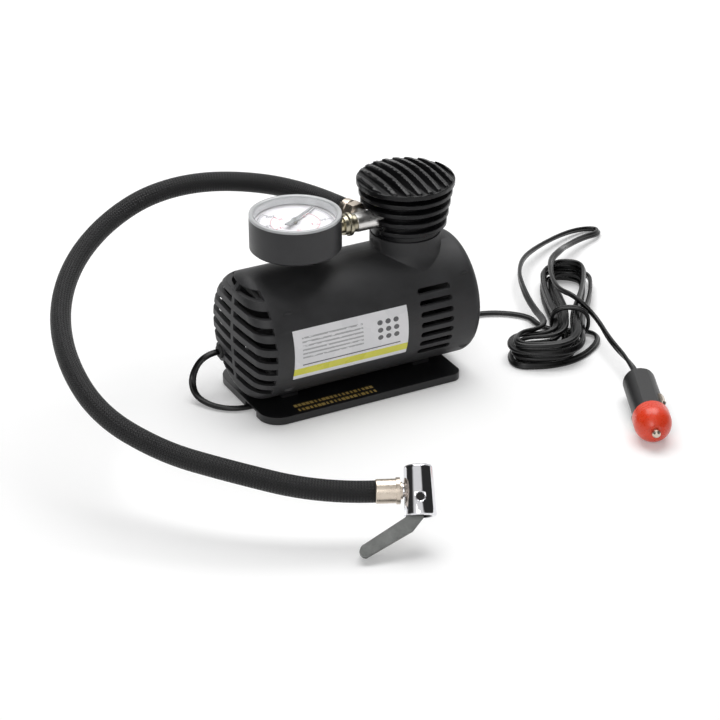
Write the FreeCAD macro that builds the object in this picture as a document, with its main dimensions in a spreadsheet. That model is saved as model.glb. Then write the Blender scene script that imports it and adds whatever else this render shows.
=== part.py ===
"""Portable 12 V tyre inflator: barrel housing on a base plate, finned head, gauge, hose, chuck and cord.

Frame: millimetres, +Z up, +X along the barrel towards the cylinder head, -Y the labelled front.
The origin is on the surface that the base stands on, under the middle of the barrel.
"""
import FreeCAD, Part
import math
import os
import Sketcher

V = FreeCAD.Vector
doc = FreeCAD.newDocument("tyre_inflator")
sheet = doc.addObject("Spreadsheet::Sheet", "Sizes")


# ---------------------------------------------------------------- sizes: a number and its formula text

class Size(float):
    """A length in millimetres (or an angle in degrees) that also knows its spreadsheet formula."""

    def __new__(cls, value, text):
        made = float.__new__(cls, value)
        made.text = text
        return made

    def __add__(self, other):
        return Size(float(self) + float(other), "(%s + %s)" % (self.text, formula(other)))

    def __sub__(self, other):
        return Size(float(self) - float(other), "(%s - %s)" % (self.text, formula(other)))

    def __mul__(self, other):
        return Size(float(self) * float(other), "(%s * %s)" % (self.text, formula(other)))

    def __truediv__(self, other):
        return Size(float(self) / float(other), "(%s / %s)" % (self.text, formula(other)))

    def __neg__(self):
        return Size(-float(self), "(0 - %s)" % self.text)

    def __radd__(self, other):
        return sized(other) + self

    def __rsub__(self, other):
        return sized(other) - self

    def __rmul__(self, other):
        return sized(other) * self

    def __rtruediv__(self, other):
        return sized(other) / self


def formula(number):
    return number.text if isinstance(number, Size) else "%.9g" % number


def sized(number):
    return number if isinstance(number, Size) else Size(number, formula(number))


def root(number):
    """Square root that keeps the formula."""
    return Size(math.sqrt(number), "sqrt(%s)" % formula(number))


def along_circle(radius, across):
    """The other leg of a right triangle whose hypotenuse is radius."""
    return root(radius * radius - across * across)


SIZES = {
    # barrel housing
    "body_radius": 36.5, "barrel_gap": 0.1, "body_half_length": 70.5, "left_dome": 1.6, "right_dome": 0.9,
    "left_round": 10.7, "right_round": 5.8, "wall": 2.4,
    # collar and finned head cover
    "head_inset": 32.1, "collar_radius": 20.2, "collar_rise": 43.7, "collar_flare": 4.6, "collar_bore": 18.0,
    "cover_wall": 2.2, "flange_radius": 27.7, "flange_rise": 28.0, "flange_band": 3.5, "dome_rise": 4.9,
    "dome_step": 1.1, "fin_first": 5.7, "fin_pitch": 6.1, "fin_thickness": 2.9, "fin_reach": 3.2, "fin_step": 1.0,
    "top_slot": 3.9, "top_pitch": 6.3, "top_shift": 0.9,
    # grille and side vents
    "grille_reach": 10.9, "grille_slot": 3.9, "grille_pitch": 7.67, "grille_drop": 22.2, "seam_rib": 3.2,
    "vent_inset": 9.0, "vent_length": 20.8, "vent_slot": 3.3, "vent_pitch": 6.15,
    # bosses and screws
    "boss_radius": 3.6, "left_boss_inset": 20.5, "right_boss_inset": 9.5, "boss_rise": 20.5,
    "screw_radius": 1.45, "screw_head": 2.9, "screw_head_depth": 2.0, "screw_seat": 12.0, "screw_bite": 13.0, "base_screw_bite": 2.5,
    "fit_gap": 0.1, "run_gap": 0.05, "open_gap": 0.3,
    # base plate
    "base_left_inset": 4.9, "base_right_inset": 12.5, "base_half_width": 34.6, "base_top": 5.1, "base_skin": 1.3,
    "base_rim": 2.0, "foot_proud": 0.6, "foot_radius": 5.0, "foot_thickness": 1.5, "foot_inset": 11.0,
    "corner_large": 12.0, "corner_small": 6.0, "saddle_reach": 42.0, "saddle_length": 10.0,
    "saddle_inner": 8.0, "saddle_width": 6.0, "channel_width": 14.0, "channel_left_y": -12.0,
    "channel_right_y": 12.0,
    # motor and gearbox
    "motor_radius": 17.9, "motor_length": 50.0, "motor_inset": 22.4, "can_wall": 1.2, "end_cap_length": 5.0,
    "magnet_thickness": 2.4, "air_gap": 0.6, "core_length": 27.0, "shaft_radius": 1.6, "commutator_radius": 4.6,
    "commutator_length": 8.0, "gear_drop": 12.2, "gear_module": 0.75, "gear_teeth": 50.0,
    "pinion_teeth": 11.0, "core_slot": 2.6, "gear_backlash": 0.12, "gear_inset": 13.0, "gear_thickness": 6.0,
    "gear_shaft_radius": 2.5, "bush_wall": 1.5, "frame_thickness": 3.0, "frame_width": 34.0, "frame_drop": 24.7, "frame_rise": 4.0,
    "frame_rib": 24.0, "frame_rib_height": 7.5, "platform_rise": 20.3,
    "platform_thickness": 3.0,
    # pump
    "crank_radius": 5.5, "pin_radius": 2.5, "rod_width": 5.0, "rod_eye": 6.5, "bore_radius": 9.5,
    "barrel_wall": 2.0, "head_radius": 16.6, "cylinder_rise": 2.6, "plate_thickness": 1.6, "head_height": 13.6,
    "head_screw_circle": 14.2, "head_clearance": 0.5, "cup_height": 4.0, "retainer_height": 1.2,
    "valve_radius": 3.0, "valve_wire": 0.35, "chamber_radius": 6.0,
    # outlet
    "outlet_y": -3.0, "outlet_rise": 7.8, "arm_radius": 5.4, "arm_reach": 33.8, "tee_length": 7.8, "ring_place": 3.8,
    "ring_width": 2.6, "ring_radius": 6.6, "air_way": 2.0, "port_inset": 26.2, "port_rise": 1.2,
    "port_radius": 3.8, "port_length": 7.4, "port_lean": 14.0,
    # gauge
    "gauge_reach": 28.7, "gauge_y": -3.0, "gauge_drop": 6.9, "gauge_height": 20.6, "gauge_radius": 25.5,
    "case_wall": 1.8, "lens_rim": 1.6, "lens_thickness": 1.6, "dial_drop": 6.2, "dial_thickness": 0.8,
    "needle_rise": 1.6, "needle_reach": 20.5, "spindle_radius": 0.8, "stem_radius": 4.2,
    "sector_module": 0.3, "sector_teeth": 72.0, "spindle_teeth": 12.0, "bourdon_radius": 16.0,
    "bourdon_section": 1.6,
    # hose and chuck
    "hose_diameter": 11.2, "hose_bore": 5.0, "nut_radius": 6.5, "nut_length": 5.6, "ferrule_radius": 6.2,
    "ferrule_wall": 0.55, "ferrule_length": 5.0, "chuck_ferrule_length": 13.6, "chuck_length": 28.0, "chuck_top": 7.2, "chuck_base": 8.4,
    "chuck_mouth": 4.3, "chuck_pivot": 4.2, "chuck_pin_radius": 1.5, "chuck_eye": 2.3, "chuck_eye_depth": 1.6, "lever_length": 37.0,
    "lever_width": 6.0, "lever_head": 4.2, "chuck_cavity": 5.2, "chuck_lever_bore": 6.0,
    # cord and plug
    "cord_diameter": 3.4, "turn_pitch": 3.85, "plug_radius": 9.2, "plug_length": 46.5, "cap_radius": 10.4, "cap_length": 6.5,
    "tip_radius": 2.3, "cap_dome": 11.0, "plug_bore": 5.2, "contact_width": 2.4,
    "contact_length": 12.0, "fuse_radius": 3.1, "fuse_length": 30.0, "tie_radius": 1.1,
    # label
    "label_inset": 20.9, "label_to_head": 17.4, "label_low": -24.4, "label_sweep": 48.0, "label_thickness": 0.2,
}


def write_sizes():
    for row, (alias, value) in enumerate(SIZES.items(), start=1):
        sheet.set("A%d" % row, alias)
        sheet.set("B%d" % row, "%.6g" % value)
        sheet.setAlias("B%d" % row, alias)
    doc.recompute()


def get(alias):
    return Size(SIZES[alias], "Sizes." + alias)


write_sizes()


# ---------------------------------------------------------------- helpers

NODES = []
TO_X = FreeCAD.Rotation(V(0, 1, 0), 90)
TO_LEFT = FreeCAD.Rotation(V(0, 1, 0), -90)
TO_Y = FreeCAD.Rotation(V(1, 0, 0), -90)
UPRIGHT = FreeCAD.Rotation()


def node(shape_object, label):
    """Name an object as a finished sub-part."""
    shape_object.Label = label
    NODES.append(shape_object)
    return shape_object


def place(item, x, y, z, turn=UPRIGHT):
    item.Placement = FreeCAD.Placement(V(x, y, z), turn)
    for axis, amount in zip("xyz", (x, y, z)):
        if isinstance(amount, Size):
            item.setExpression("Placement.Base." + axis, amount.text)
    return item


def bind(item, prop, amount):
    """Set a property, with its formula where the amount has one."""
    setattr(item, prop, float(amount))
    if isinstance(amount, Size):
        item.setExpression(prop, amount.text)


def pin_coordinate(sketch, kind, geometry, point, amount, axis):
    """Hold one coordinate of a sketch point, on the axis where it is a plain zero."""
    if not isinstance(amount, Size) and amount == 0:
        sketch.addConstraint(Sketcher.Constraint("PointOnObject", geometry, point, axis))
        return
    index = sketch.addConstraint(Sketcher.Constraint(kind, -1, 1, geometry, point, float(amount)))
    if isinstance(amount, Size):
        sketch.setExpression("Constraints[%d]" % index, amount.text)


def pin_radius(sketch, geometry, amount):
    index = sketch.addConstraint(Sketcher.Constraint("Radius", geometry, float(amount)))
    if isinstance(amount, Size):
        sketch.setExpression("Constraints[%d]" % index, amount.text)


def arc_middle(first, last, radius, side):
    """Middle of the short arc between two points, bulging to the left (side 1) or right (side -1)."""
    chord = last - first
    across = V(-chord.y, chord.x, 0).normalize() * side
    rise = radius - math.sqrt(max(radius ** 2 - (chord.Length / 2) ** 2, 0.0))
    return (first + last) * 0.5 + across * rise


def draw_outline(sketch, corners):
    """Closed outline: each corner is (across, up), or (across, up, radius, side) where an arc leaves it."""
    points = [V(c[0], c[1], 0) for c in corners]
    made = []
    for i, corner in enumerate(corners):
        first, last = points[i], points[(i + 1) % len(points)]
        if len(corner) == 2:
            made.append(sketch.addGeometry(Part.LineSegment(first, last), False))
        else:
            middle = arc_middle(first, last, float(corner[2]), corner[3])
            made.append(sketch.addGeometry(Part.Arc(first, middle, last), False))
            if abs((last - first).Length - 2 * float(corner[2])) < 1e-6:
                sketch.addConstraint(Sketcher.Constraint("Symmetric", made[-1], 1, made[-1], 2, made[-1], 3))
            else:
                pin_radius(sketch, made[-1], corner[2])
    starts = []
    for i, corner in enumerate(corners):
        clockwise = len(corner) == 4 and corner[3] > 0
        starts.append(2 if clockwise else 1)
    for i, corner in enumerate(corners):
        after = (i + 1) % len(corners)
        end = 3 - starts[i]
        sketch.addConstraint(Sketcher.Constraint("Coincident", made[i], end, made[after], starts[after]))
        pin_coordinate(sketch, "DistanceX", made[i], starts[i], corner[0], -2)
        pin_coordinate(sketch, "DistanceY", made[i], starts[i], corner[1], -1)


def draw_circle(sketch, across, up, radius):
    circle = Part.Circle(V(across, up, 0), V(0, 0, 1), float(radius))
    made = sketch.addGeometry(circle, False)
    pin_coordinate(sketch, "DistanceX", made, 3, across, -2)
    pin_coordinate(sketch, "DistanceY", made, 3, up, -1)
    pin_radius(sketch, made, radius)


def sketch_on(body, plane, outlines=(), circles=(), shift=(0, 0, 0)):
    """A sketch on one of the body's own origin planes; shift is across, up and along its normal."""
    made = body.newObject("Sketcher::SketchObject", "Sketch")
    support = [f for f in body.Origin.OriginFeatures if f.Role == plane][0]
    made.AttachmentSupport = (support, [""])
    made.MapMode = "FlatFace"
    made.AttachmentOffset = FreeCAD.Placement(V(*[float(s) for s in shift]), UPRIGHT)
    for axis, amount in zip("xyz", shift):
        if isinstance(amount, Size):
            made.setExpression("AttachmentOffset.Base." + axis, amount.text)
    for corners in outlines:
        draw_outline(made, corners)
    for circle in circles:
        draw_circle(made, *circle)
    return made


def feature(body, kind, profile, flip=False, **amounts):
    made = body.newObject("PartDesign::" + kind, kind)
    made.Profile = profile
    for prop, amount in amounts.items():
        bind(made, prop, amount)
    made.Reversed = flip
    profile.Visibility = False
    return made


def pad(body, plane, length, flip=False, outlines=(), circles=(), shift=(0, 0, 0)):
    return feature(body, "Pad", sketch_on(body, plane, outlines, circles, shift), flip, Length=length)


def pocket(body, plane, length, flip=False, outlines=(), circles=(), shift=(0, 0, 0)):
    return feature(body, "Pocket", sketch_on(body, plane, outlines, circles, shift), flip, Length=length)


def spin(body, kind, corners, axis="V_Axis", angle=360.0, flip=False, shift=(0, 0, 0)):
    """Revolution or Groove of an outline on the XZ plane about its own upright or level axis."""
    profile = sketch_on(body, "XZ_Plane", [corners], (), shift)
    made = feature(body, kind, profile, flip, Angle=angle)
    made.ReferenceAxis = (profile, [axis])
    return made


def new_body(name):
    return doc.addObject("PartDesign::Body", name)


def turned(label, corners, x, y, z, turn=UPRIGHT):
    """A sub-part turned about its own upright axis from (radius, height) corners."""
    body = new_body(label)
    spin(body, "Revolution", corners)
    return node(place(body, x, y, z, turn), label)


def tube_corners(inner, outer, low, high):
    return [(inner, low), (outer, low), (outer, high), (inner, high)]


def cylinder(name, radius, height, x, y, z, turn=UPRIGHT, angle=360.0):
    made = doc.addObject("Part::Cylinder", name)
    bind(made, "Radius", radius)
    bind(made, "Height", height)
    bind(made, "Angle", angle)
    return place(made, x, y, z, turn)


def block(name, length, width, height, x, y, z, turn=UPRIGHT):
    made = doc.addObject("Part::Box", name)
    bind(made, "Length", length)
    bind(made, "Width", width)
    bind(made, "Height", height)
    return place(made, x, y, z, turn)


def joined(name, parts):
    made = doc.addObject("Part::MultiFuse", name)
    made.Shapes = parts
    return made


def cut(name, base, tools):
    made = doc.addObject("Part::Cut", name)
    made.Base = base
    made.Tool = tools[0] if len(tools) == 1 else joined(name + "_tools", tools)
    return made


def group(label, parts):
    """Identical pieces that share one node as separate solids."""
    made = doc.addObject("Part::Compound", label)
    made.Links = parts
    return node(made, label)


def screws(label, places, turn, length):
    """Pan-head screws: heads at the given places, shanks running along -Z of the turn."""
    made = []
    for x, y, z in places:
        drop = turn.multVec(V(0, 0, -1))
        shank = cylinder("shank", get("screw_radius"), length, x + drop.x * length,
                         y + drop.y * length, z + drop.z * length, turn)
        head = cylinder("head", get("screw_head"), get("screw_head_depth"), x, y, z, turn)
        made.append(joined("screw", [shank, head]))
    return group(label, made)


def solid(label, shape, x=0, y=0, z=0, turn=UPRIGHT):
    """A sub-part whose form neither a sketch nor a primitive gives."""
    made = doc.addObject("Part::Feature", label)
    made.Shape = shape
    return node(place(made, x, y, z, turn), label)


# ---------------------------------------------------------------- barrel housing, collar and base

body_radius = get("body_radius")
axis_height = get("base_top") + get("barrel_gap") + body_radius
wall = get("wall")
half_length = get("body_half_length")
left_end = -half_length
right_end = half_length
left_face = left_end + get("left_dome")
right_face = right_end - get("right_dome")
head_x = right_end - get("head_inset")
collar_top = axis_height + get("collar_rise")
flange_height = collar_top + get("flange_rise")
cover_top = flange_height + get("flange_band") + get("dome_rise")
grille_right = left_end + get("grille_reach")
base_left = left_end + get("base_left_inset")
base_right = right_end - get("base_right_inset")
motor_front = head_x - get("motor_inset")
gear_axis_z = axis_height - get("gear_drop")
gear_left = head_x - get("gear_inset")
platform_z = axis_height + get("platform_rise")
cylinder_top = collar_top + get("cylinder_rise")
outlet_z = cylinder_top + get("plate_thickness") + get("outlet_rise")
arm_end_x = head_x - get("arm_reach")
tee_left_x = arm_end_x - get("tee_length")
port_x = head_x - get("port_inset")
port_z = outlet_z + get("port_rise")
gauge_x = tee_left_x - get("gauge_reach")
gauge_bottom = outlet_z - get("gauge_drop")
base_top = get("base_top")
screw_radius = get("screw_radius")
FAR = 60.0


def dome_radius(rim, rise):
    return (rim * rim + rise * rise) / (2 * rise)


def barrel_profile(inset):
    """Half outline of the barrel, drawn inset from its outer skin, from the left end to the right."""
    left_rim = body_radius - get("left_round")
    right_rim = body_radius - get("right_round")
    outer = body_radius - inset
    return [(left_end + inset, 0, dome_radius(left_rim, get("left_dome")), 1),
            (left_face + inset, left_rim, get("left_round") - inset, 1),
            (left_face + get("left_round"), outer),
            (right_face - get("right_round"), outer, get("right_round") - inset, 1),
            (right_face - inset, right_rim, dome_radius(right_rim, get("right_dome")), 1),
            (right_end - inset, 0)]


def boss_places():
    rise = get("boss_rise")
    return [(x, axis_height + up) for x in (left_end + get("left_boss_inset"), right_end - get("right_boss_inset")) for up in (rise, -rise)]


def slot_outline(left, length, low, height):
    """Level slot with round ends."""
    half = height / 2
    return [(left + half, low + height), (left + length - half, low + height, half, 1),
            (left + length - half, low), (left + half, low, half, 1)]


def half_shell(label, side):
    """One moulded half of the housing: side -1 is the labelled front, 1 the rear."""
    body = new_body(label)
    flip = side > 0
    on_axis = (0, axis_height, 0)
    at_head = (head_x, 0, 0)
    spin(body, "Revolution", barrel_profile(0), "H_Axis", 180.0, flip, on_axis)
    collar = get("collar_radius")
    flare = get("collar_flare")
    foot = axis_height + along_circle(body_radius, collar + flare)
    spin(body, "Revolution", [(0, axis_height), (collar + flare, axis_height),
                              (collar + flare, foot, flare * 3, 1), (collar, foot + flare * 2),
                              (collar, collar_top), (0, collar_top)],
         "V_Axis", 180.0, not flip, at_head)
    spin(body, "Groove", barrel_profile(wall), "H_Axis", 180.0, flip, on_axis)
    spin(body, "Groove", [(0, axis_height), (get("collar_bore"), axis_height),
                          (get("collar_bore"), FAR * 2), (0, FAR * 2)], "V_Axis", 180.0, not flip, at_head)
    # screw bosses, motor cradles and the pads that the base is screwed to
    reach = along_circle(body_radius - wall / 2, get("boss_rise"))
    pad(body, "XZ_Plane", reach, flip, circles=[(x, z, get("boss_radius")) for x, z in boss_places()])
    cradle = body_radius - wall / 2
    motor_z = gear_axis_z + gear_distance()
    seat = get("motor_radius") + get("fit_gap")
    for rib_x in (motor_front - get("motor_length") + 6, motor_front - 12):
        pad(body, "YZ_Plane", get("wall"), outlines=[[
            (0, axis_height - cradle, cradle, -side), (0, axis_height + cradle), (0, motor_z + seat, seat, side),
            (0, motor_z - seat)]], shift=(0, 0, rib_x))
    inner = get("saddle_inner") * side
    outer = (get("saddle_inner") + get("saddle_width")) * side
    saddle_top = axis_height - along_circle(body_radius, get("saddle_inner") + get("saddle_width")) + 0.4
    for x in (-get("saddle_reach"), get("saddle_reach")):
        half = get("saddle_length") / 2
        pad(body, "XY_Plane", saddle_top - base_top, outlines=[[(x - half, inner), (x + half, inner),
            (x + half, outer), (x - half, outer)]], shift=(0, 0, base_top))
    pocket(body, "XY_Plane", get("base_screw_bite") + 1.0, True, shift=(0, 0, base_top - 0.5),
           circles=[(x, y, screw_radius) for x, y in base_screw_places() if (y > 0) == (side > 0)])
    # grille slots round the left end and vents beside the head
    rib = get("seam_rib") / 2
    slot = get("grille_slot")
    grille = []
    for i in range(8):
        middle = axis_height - get("grille_drop") + get("grille_pitch") * i
        grille.append([(left_end - 1, middle - slot / 2), (grille_right, middle - slot / 2),
                       (grille_right, middle + slot / 2), (left_end - 1, middle + slot / 2)])
    pocket(body, "XZ_Plane", FAR, not flip, outlines=grille, shift=(0, 0, -side * rib))
    vents = []
    for i in range(7):
        middle = axis_height + 0.6 + get("vent_pitch") * (i - 3)
        vents.append(slot_outline(head_x - get("vent_inset"), get("vent_length"), middle - get("vent_slot") / 2,
                                  get("vent_slot")))
    pocket(body, "XZ_Plane", FAR, not flip, outlines=vents, shift=(0, 0, -side * body_radius / 2))
    return body


def gear_distance():
    return get("gear_module") * (get("gear_teeth") + get("pinion_teeth")) / 2 + get("gear_backlash")


def front_housing():
    body = half_shell("front_shell", -1)
    pocket(body, "XZ_Plane", get("screw_bite") + 1.0, True,
           circles=[(x, z, screw_radius) for x, z in boss_places()])
    recess = label_sector("label_recess", body_radius + 1, get("open_gap") / 3)
    return node(cut("housing_front", body, [recess]), "housing_front")


def label_sector(name, outer, margin):
    """Curved strip of the label's length and sweep, from its seat out to the given radius."""
    label_left = left_end + get("label_inset")
    length = head_x - get("label_to_head") - label_left + margin * 2
    spread = get("label_sweep") + margin
    seat = body_radius - get("label_thickness")
    made = cut(name, cylinder(name + "_out", outer, length, 0, 0, 0, angle=spread),
               [cylinder(name + "_in", seat, length, 0, 0, 0, angle=spread)])
    # the strip starts at its upper edge and runs down past -Y
    turn = FreeCAD.Rotation(V(1, 0, 0), -90 - float(spread + get("label_low") - margin / 2)) * TO_X
    return place(made, label_left - margin, 0, axis_height, turn)


def rear_housing():
    body = half_shell("housing_rear", 1)
    clear = screw_radius + get("fit_gap")
    pocket(body, "XZ_Plane", FAR, False, circles=[(x, z, clear) for x, z in boss_places()])
    pocket(body, "XZ_Plane", FAR, False, circles=[(x, z, get("screw_head") + 0.3) for x, z in boss_places()],
           shift=(0, 0, -get("screw_seat")))
    # round seat in the grille for the cord's bush
    exit_y, exit_z = CORD_EXIT
    pad(body, "YZ_Plane", wall + 1.8, circles=[(exit_y, exit_z, 5.6)], shift=(0, 0, left_face - 0.4))
    pocket(body, "YZ_Plane", FAR, True, circles=[(exit_y, exit_z, 3.0 + get("fit_gap"))],
           shift=(0, 0, left_face - FAR / 2))
    return node(body, "housing_rear")


CORD_EXIT = (19.0, 25.0)


def base_plate():
    body = new_body("base_plate")
    left, right = base_left, base_right
    half = get("base_half_width")
    large, small = get("corner_large"), get("corner_small")
    foot = get("foot_proud")
    rim = get("base_rim")

    def outline(inset):
        big, little = large - inset, small - inset
        return [(left + large, -half + inset), (right - small, -half + inset, little, -1),
                (right - inset, -half + small), (right - inset, half - small, little, -1),
                (right - small, half - inset), (left + large, half - inset, big, -1),
                (left + inset, half - large), (left + inset, -half + large, big, -1)]

    pad(body, "XY_Plane", base_top - foot, outlines=[outline(0)], shift=(0, 0, foot))
    depth = base_top - get("base_skin") - foot
    pocket(body, "XY_Plane", depth, True, outlines=[outline(rim)], shift=(0, 0, foot))
    pad(body, "XY_Plane", depth, circles=[(x, y, get("foot_radius") + 1.5) for x, y in foot_places()],
        shift=(0, 0, foot))
    pocket(body, "XY_Plane", get("foot_thickness") - foot, True,
           circles=[(x, y, get("foot_radius") + get("fit_gap")) for x, y in foot_places()], shift=(0, 0, foot))
    pocket(body, "XY_Plane", FAR, True, circles=[(x, y, screw_radius + get("fit_gap")) for x, y in base_screw_places()])
    channel = get("channel_width") / 2
    for low_x, high_x, y in ((left - 1, left + rim + 1, get("channel_left_y")),
                             (right - rim - 1, right + 1, get("channel_right_y"))):
        pocket(body, "XY_Plane", depth, True, shift=(0, 0, foot),
               outlines=[[(low_x, y - channel), (high_x, y - channel), (high_x, y + channel), (low_x, y + channel)]])
    return node(body, "base_plate")


def foot_places():
    inset = get("foot_inset")
    left, right, half = base_left + inset, base_right - inset, get("base_half_width") - inset
    return [(x, y) for x in (left, right) for y in (-half, half)]


def base_screw_places():
    middle = get("saddle_inner") + get("saddle_width") / 2
    return [(x, y) for x in (-get("saddle_reach"), get("saddle_reach")) for y in (-middle, middle)]


def base_and_screws():
    base_plate()
    group("rubber_feet", [cylinder("foot", get("foot_radius"), get("foot_thickness"), x, y, 0)
                          for x, y in foot_places()])
    skin_low = base_top - get("base_skin")
    up = FreeCAD.Rotation(V(1, 0, 0), 180)
    screws("base_screws", [(x, y, skin_low) for x, y in base_screw_places()], up,
           get("base_skin") + get("base_screw_bite"))
    screws("housing_screws", [(x, get("screw_seat"), z) for x, z in boss_places()], TO_Y,
           get("screw_seat") + get("screw_bite"))


def head_cover():
    """Mushroom cap with ring fins round its neck and slots across its dome."""
    body = new_body("cover_shell")
    low = collar_top
    flange = get("flange_radius")
    crown = flange_height
    band = get("flange_band")
    bore = get("collar_bore") + get("fit_gap")
    thick = get("fin_thickness")
    corners = [(0, low), (get("collar_radius") - 0.6, low)]
    floor_radius = bore + get("cover_wall")
    for i in range(4):
        fin = get("collar_radius") + get("fin_reach") + get("fin_step") * i
        bottom = low + get("fin_first") + get("fin_pitch") * i - thick / 2
        corners += [(floor_radius, bottom), (fin - 0.5, bottom), (fin, bottom + 0.5), (fin, bottom + thick - 0.5),
                    (fin - 0.5, bottom + thick), (floor_radius, bottom + thick)]
    slot_floor = crown + band
    dome_foot = slot_floor + get("dome_step")
    edge = flange - 0.6
    corners += [(floor_radius, crown - 1.4), (flange - 1.0, crown), (flange, crown + 0.8), (flange, slot_floor - 0.4),
                (flange - 0.4, slot_floor), (edge, slot_floor), (edge, dome_foot - 0.5),
                (edge - 0.6, dome_foot, dome_radius(edge - 0.6, cover_top - dome_foot), -1), (0, cover_top)]
    spin(body, "Revolution", corners)
    ceiling = crown + 1.0
    spin(body, "Groove", [(0, low - 1), (bore, low - 1), (bore, ceiling), (0, ceiling)])
    slots = []
    half = get("top_slot") / 2
    for i in range(9):
        middle = get("top_shift") + get("top_pitch") * (i - 4.5)
        slots.append([(middle - half, slot_floor), (middle + half, slot_floor),
                      (middle + half, FAR * 3), (middle - half, FAR * 3)])
    pocket(body, "XZ_Plane", FAR, False, outlines=slots, shift=(0, 0, FAR / 2))
    # way out for the outlet arm
    hole = get("arm_radius") + 0.5
    pocket(body, "YZ_Plane", FAR, True, circles=[(get("outlet_y"), outlet_z, hole)], shift=(0, 0, -FAR))
    place(body, head_x, 0, 0)
    at = port_at(0)
    gap = get("open_gap")
    port_relief = cylinder("port_relief", get("port_radius") + gap, NUT_START, at.x, at.y, at.z, PORT_TURN)
    at = port_at(NUT_START - 1)
    nut_relief = cylinder("nut_relief", get("nut_radius") + gap, get("nut_length") + 3, at.x, at.y, at.z, PORT_TURN)
    # the two lower fins stop short of the outlet and its nut
    notch_low = low + get("fin_first") - thick
    notch_height = get("fin_pitch") + thick * 2
    turn = FreeCAD.Rotation(V(0, 0, 1), 112)
    sector = cylinder("fin_sector", flange, notch_height, head_x, 0, notch_low, turn, 92.0)
    core = cylinder("fin_core", floor_radius, notch_height, head_x, 0, notch_low, turn, 92.0)
    return node(cut("head_cover", body, [port_relief, nut_relief, cut("fin_notch", sector, [core])]), "head_cover")


def side_label():
    """Thin curved sticker, flush in its recess in the front half."""
    return node(label_sector("side_label", body_radius, sized(0.0)), "side_label")


# ---------------------------------------------------------------- motor and gearbox

motor_z = gear_axis_z + gear_distance()
can_rear = motor_front - get("motor_length")
can_inner = get("motor_radius") - get("can_wall")
fit = get("fit_gap")
run = get("run_gap")


def gear_shape(module, teeth, width, bore, first=0, last=None):
    """Involute spur gear standing on the XY plane; a part gear keeps only the teeth first to last."""
    pitch = module * teeth / 2
    base = pitch * math.cos(math.radians(20))
    tip = pitch + module
    foot = pitch - 1.25 * module
    half_pitch = math.pi / (2 * teeth) + math.tan(math.radians(20)) - math.radians(20) - 0.04 * module / pitch

    def flank(radius):
        if radius <= base:
            return half_pitch
        roll = math.sqrt((radius / base) ** 2 - 1)
        return half_pitch - (roll - math.atan(roll))

    steps = [max(base, foot) + (tip - max(base, foot)) * i / 3 for i in range(4)]
    corners = []
    for tooth in range(first, int(teeth) if last is None else last + 1):
        middle = 2 * math.pi * tooth / teeth
        for radius in [foot] + steps:
            corners.append((radius, middle - flank(radius)))
        for radius in reversed([foot] + steps):
            corners.append((radius, middle + flank(radius)))
    if last is not None:
        corners = [(0.0, 0.0)] + corners
    points = [V(r * math.cos(a), r * math.sin(a), 0) for r, a in corners]
    face = Part.Face(Part.makePolygon(points + points[:1]))
    made = face.extrude(V(0, 0, width))
    if last is not None:
        made = made.fuse(Part.makeCylinder(float(bore) + 1.2, width))
    return made.cut(Part.makeCylinder(float(bore), width * 3, V(0, 0, -width))).removeSplitter()


def solid(label, shape, x, y, z, turn=UPRIGHT):
    made = doc.addObject("Part::Feature", label)
    made.Shape = shape
    place(made, x, y, z, turn)
    return node(made, label)


def motor():
    front = motor_front
    outer = get("motor_radius")
    shaft = get("shaft_radius")
    length = get("motor_length")
    turned("motor_can", [(can_inner, 0), (outer, 0), (outer, length), (shaft + run, length),
                         (shaft + run, length - get("can_wall")), (can_inner, length - get("can_wall"))],
           can_rear, 0, motor_z, TO_X)
    cap = get("end_cap_length")
    turned("motor_end_cap", [(shaft + run, 0), (outer, 0), (outer, cap), (can_inner - fit, cap),
                             (can_inner - fit, cap + 3), (shaft + run, cap + 3)],
           can_rear - cap, 0, motor_z, TO_X)
    core = get("core_length")
    core_left = can_rear + 15
    magnet_inner = can_inner - get("magnet_thickness")
    arcs = []
    for start in (-60, 120):
        turn = TO_X * FreeCAD.Rotation(V(0, 0, 1), start)
        outer_arc = cylinder("magnet_out", can_inner, core + 2, core_left - 1, 0, motor_z, turn, 120.0)
        inner_arc = cylinder("magnet_in", magnet_inner, core + 2, core_left - 1, 0, motor_z, turn, 120.0)
        arcs.append(cut("magnet", outer_arc, [inner_arc]))
    group("magnets", arcs)
    rotor = magnet_inner - get("air_gap")
    stack = cylinder("core_stack", rotor, core, core_left, 0, motor_z, TO_X)
    bore = cylinder("core_bore", shaft, core + 2, core_left - 1, 0, motor_z, TO_X)
    slots = []
    for i in range(5):
        turn = TO_X * FreeCAD.Rotation(V(0, 0, 1), 72 * i)
        slots.append(block("core_slot", rotor - 6, get("core_slot"), core + 2, 0, 0, 0))
        shift = turn.multVec(V(7, -get("core_slot") / 2, -1))
        slots[-1].Placement = FreeCAD.Placement(V(core_left, 0, motor_z) + shift, turn)
    node(cut("armature", stack, [bore] + slots), "armature")
    turned("commutator", tube_corners(shaft, get("commutator_radius"), 0, get("commutator_length")),
           can_rear + 5, 0, motor_z, TO_X)
    shaft_left = can_rear - cap - 1.5
    node(cylinder("motor_shaft", shaft, PINION_RIGHT - shaft_left, shaft_left, 0, motor_z, TO_X), "motor_shaft")
    turn = TO_X * FreeCAD.Rotation(V(0, 0, 1), 180.0 / get("pinion_teeth"))
    pinion_left = front + get("frame_thickness") + 2
    solid("motor_pinion", gear_shape(get("gear_module"), get("pinion_teeth"), PINION_RIGHT - pinion_left, shaft),
          pinion_left, 0, motor_z, turn)


PINION_RIGHT = gear_left + get("gear_thickness") + 0.6


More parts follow.
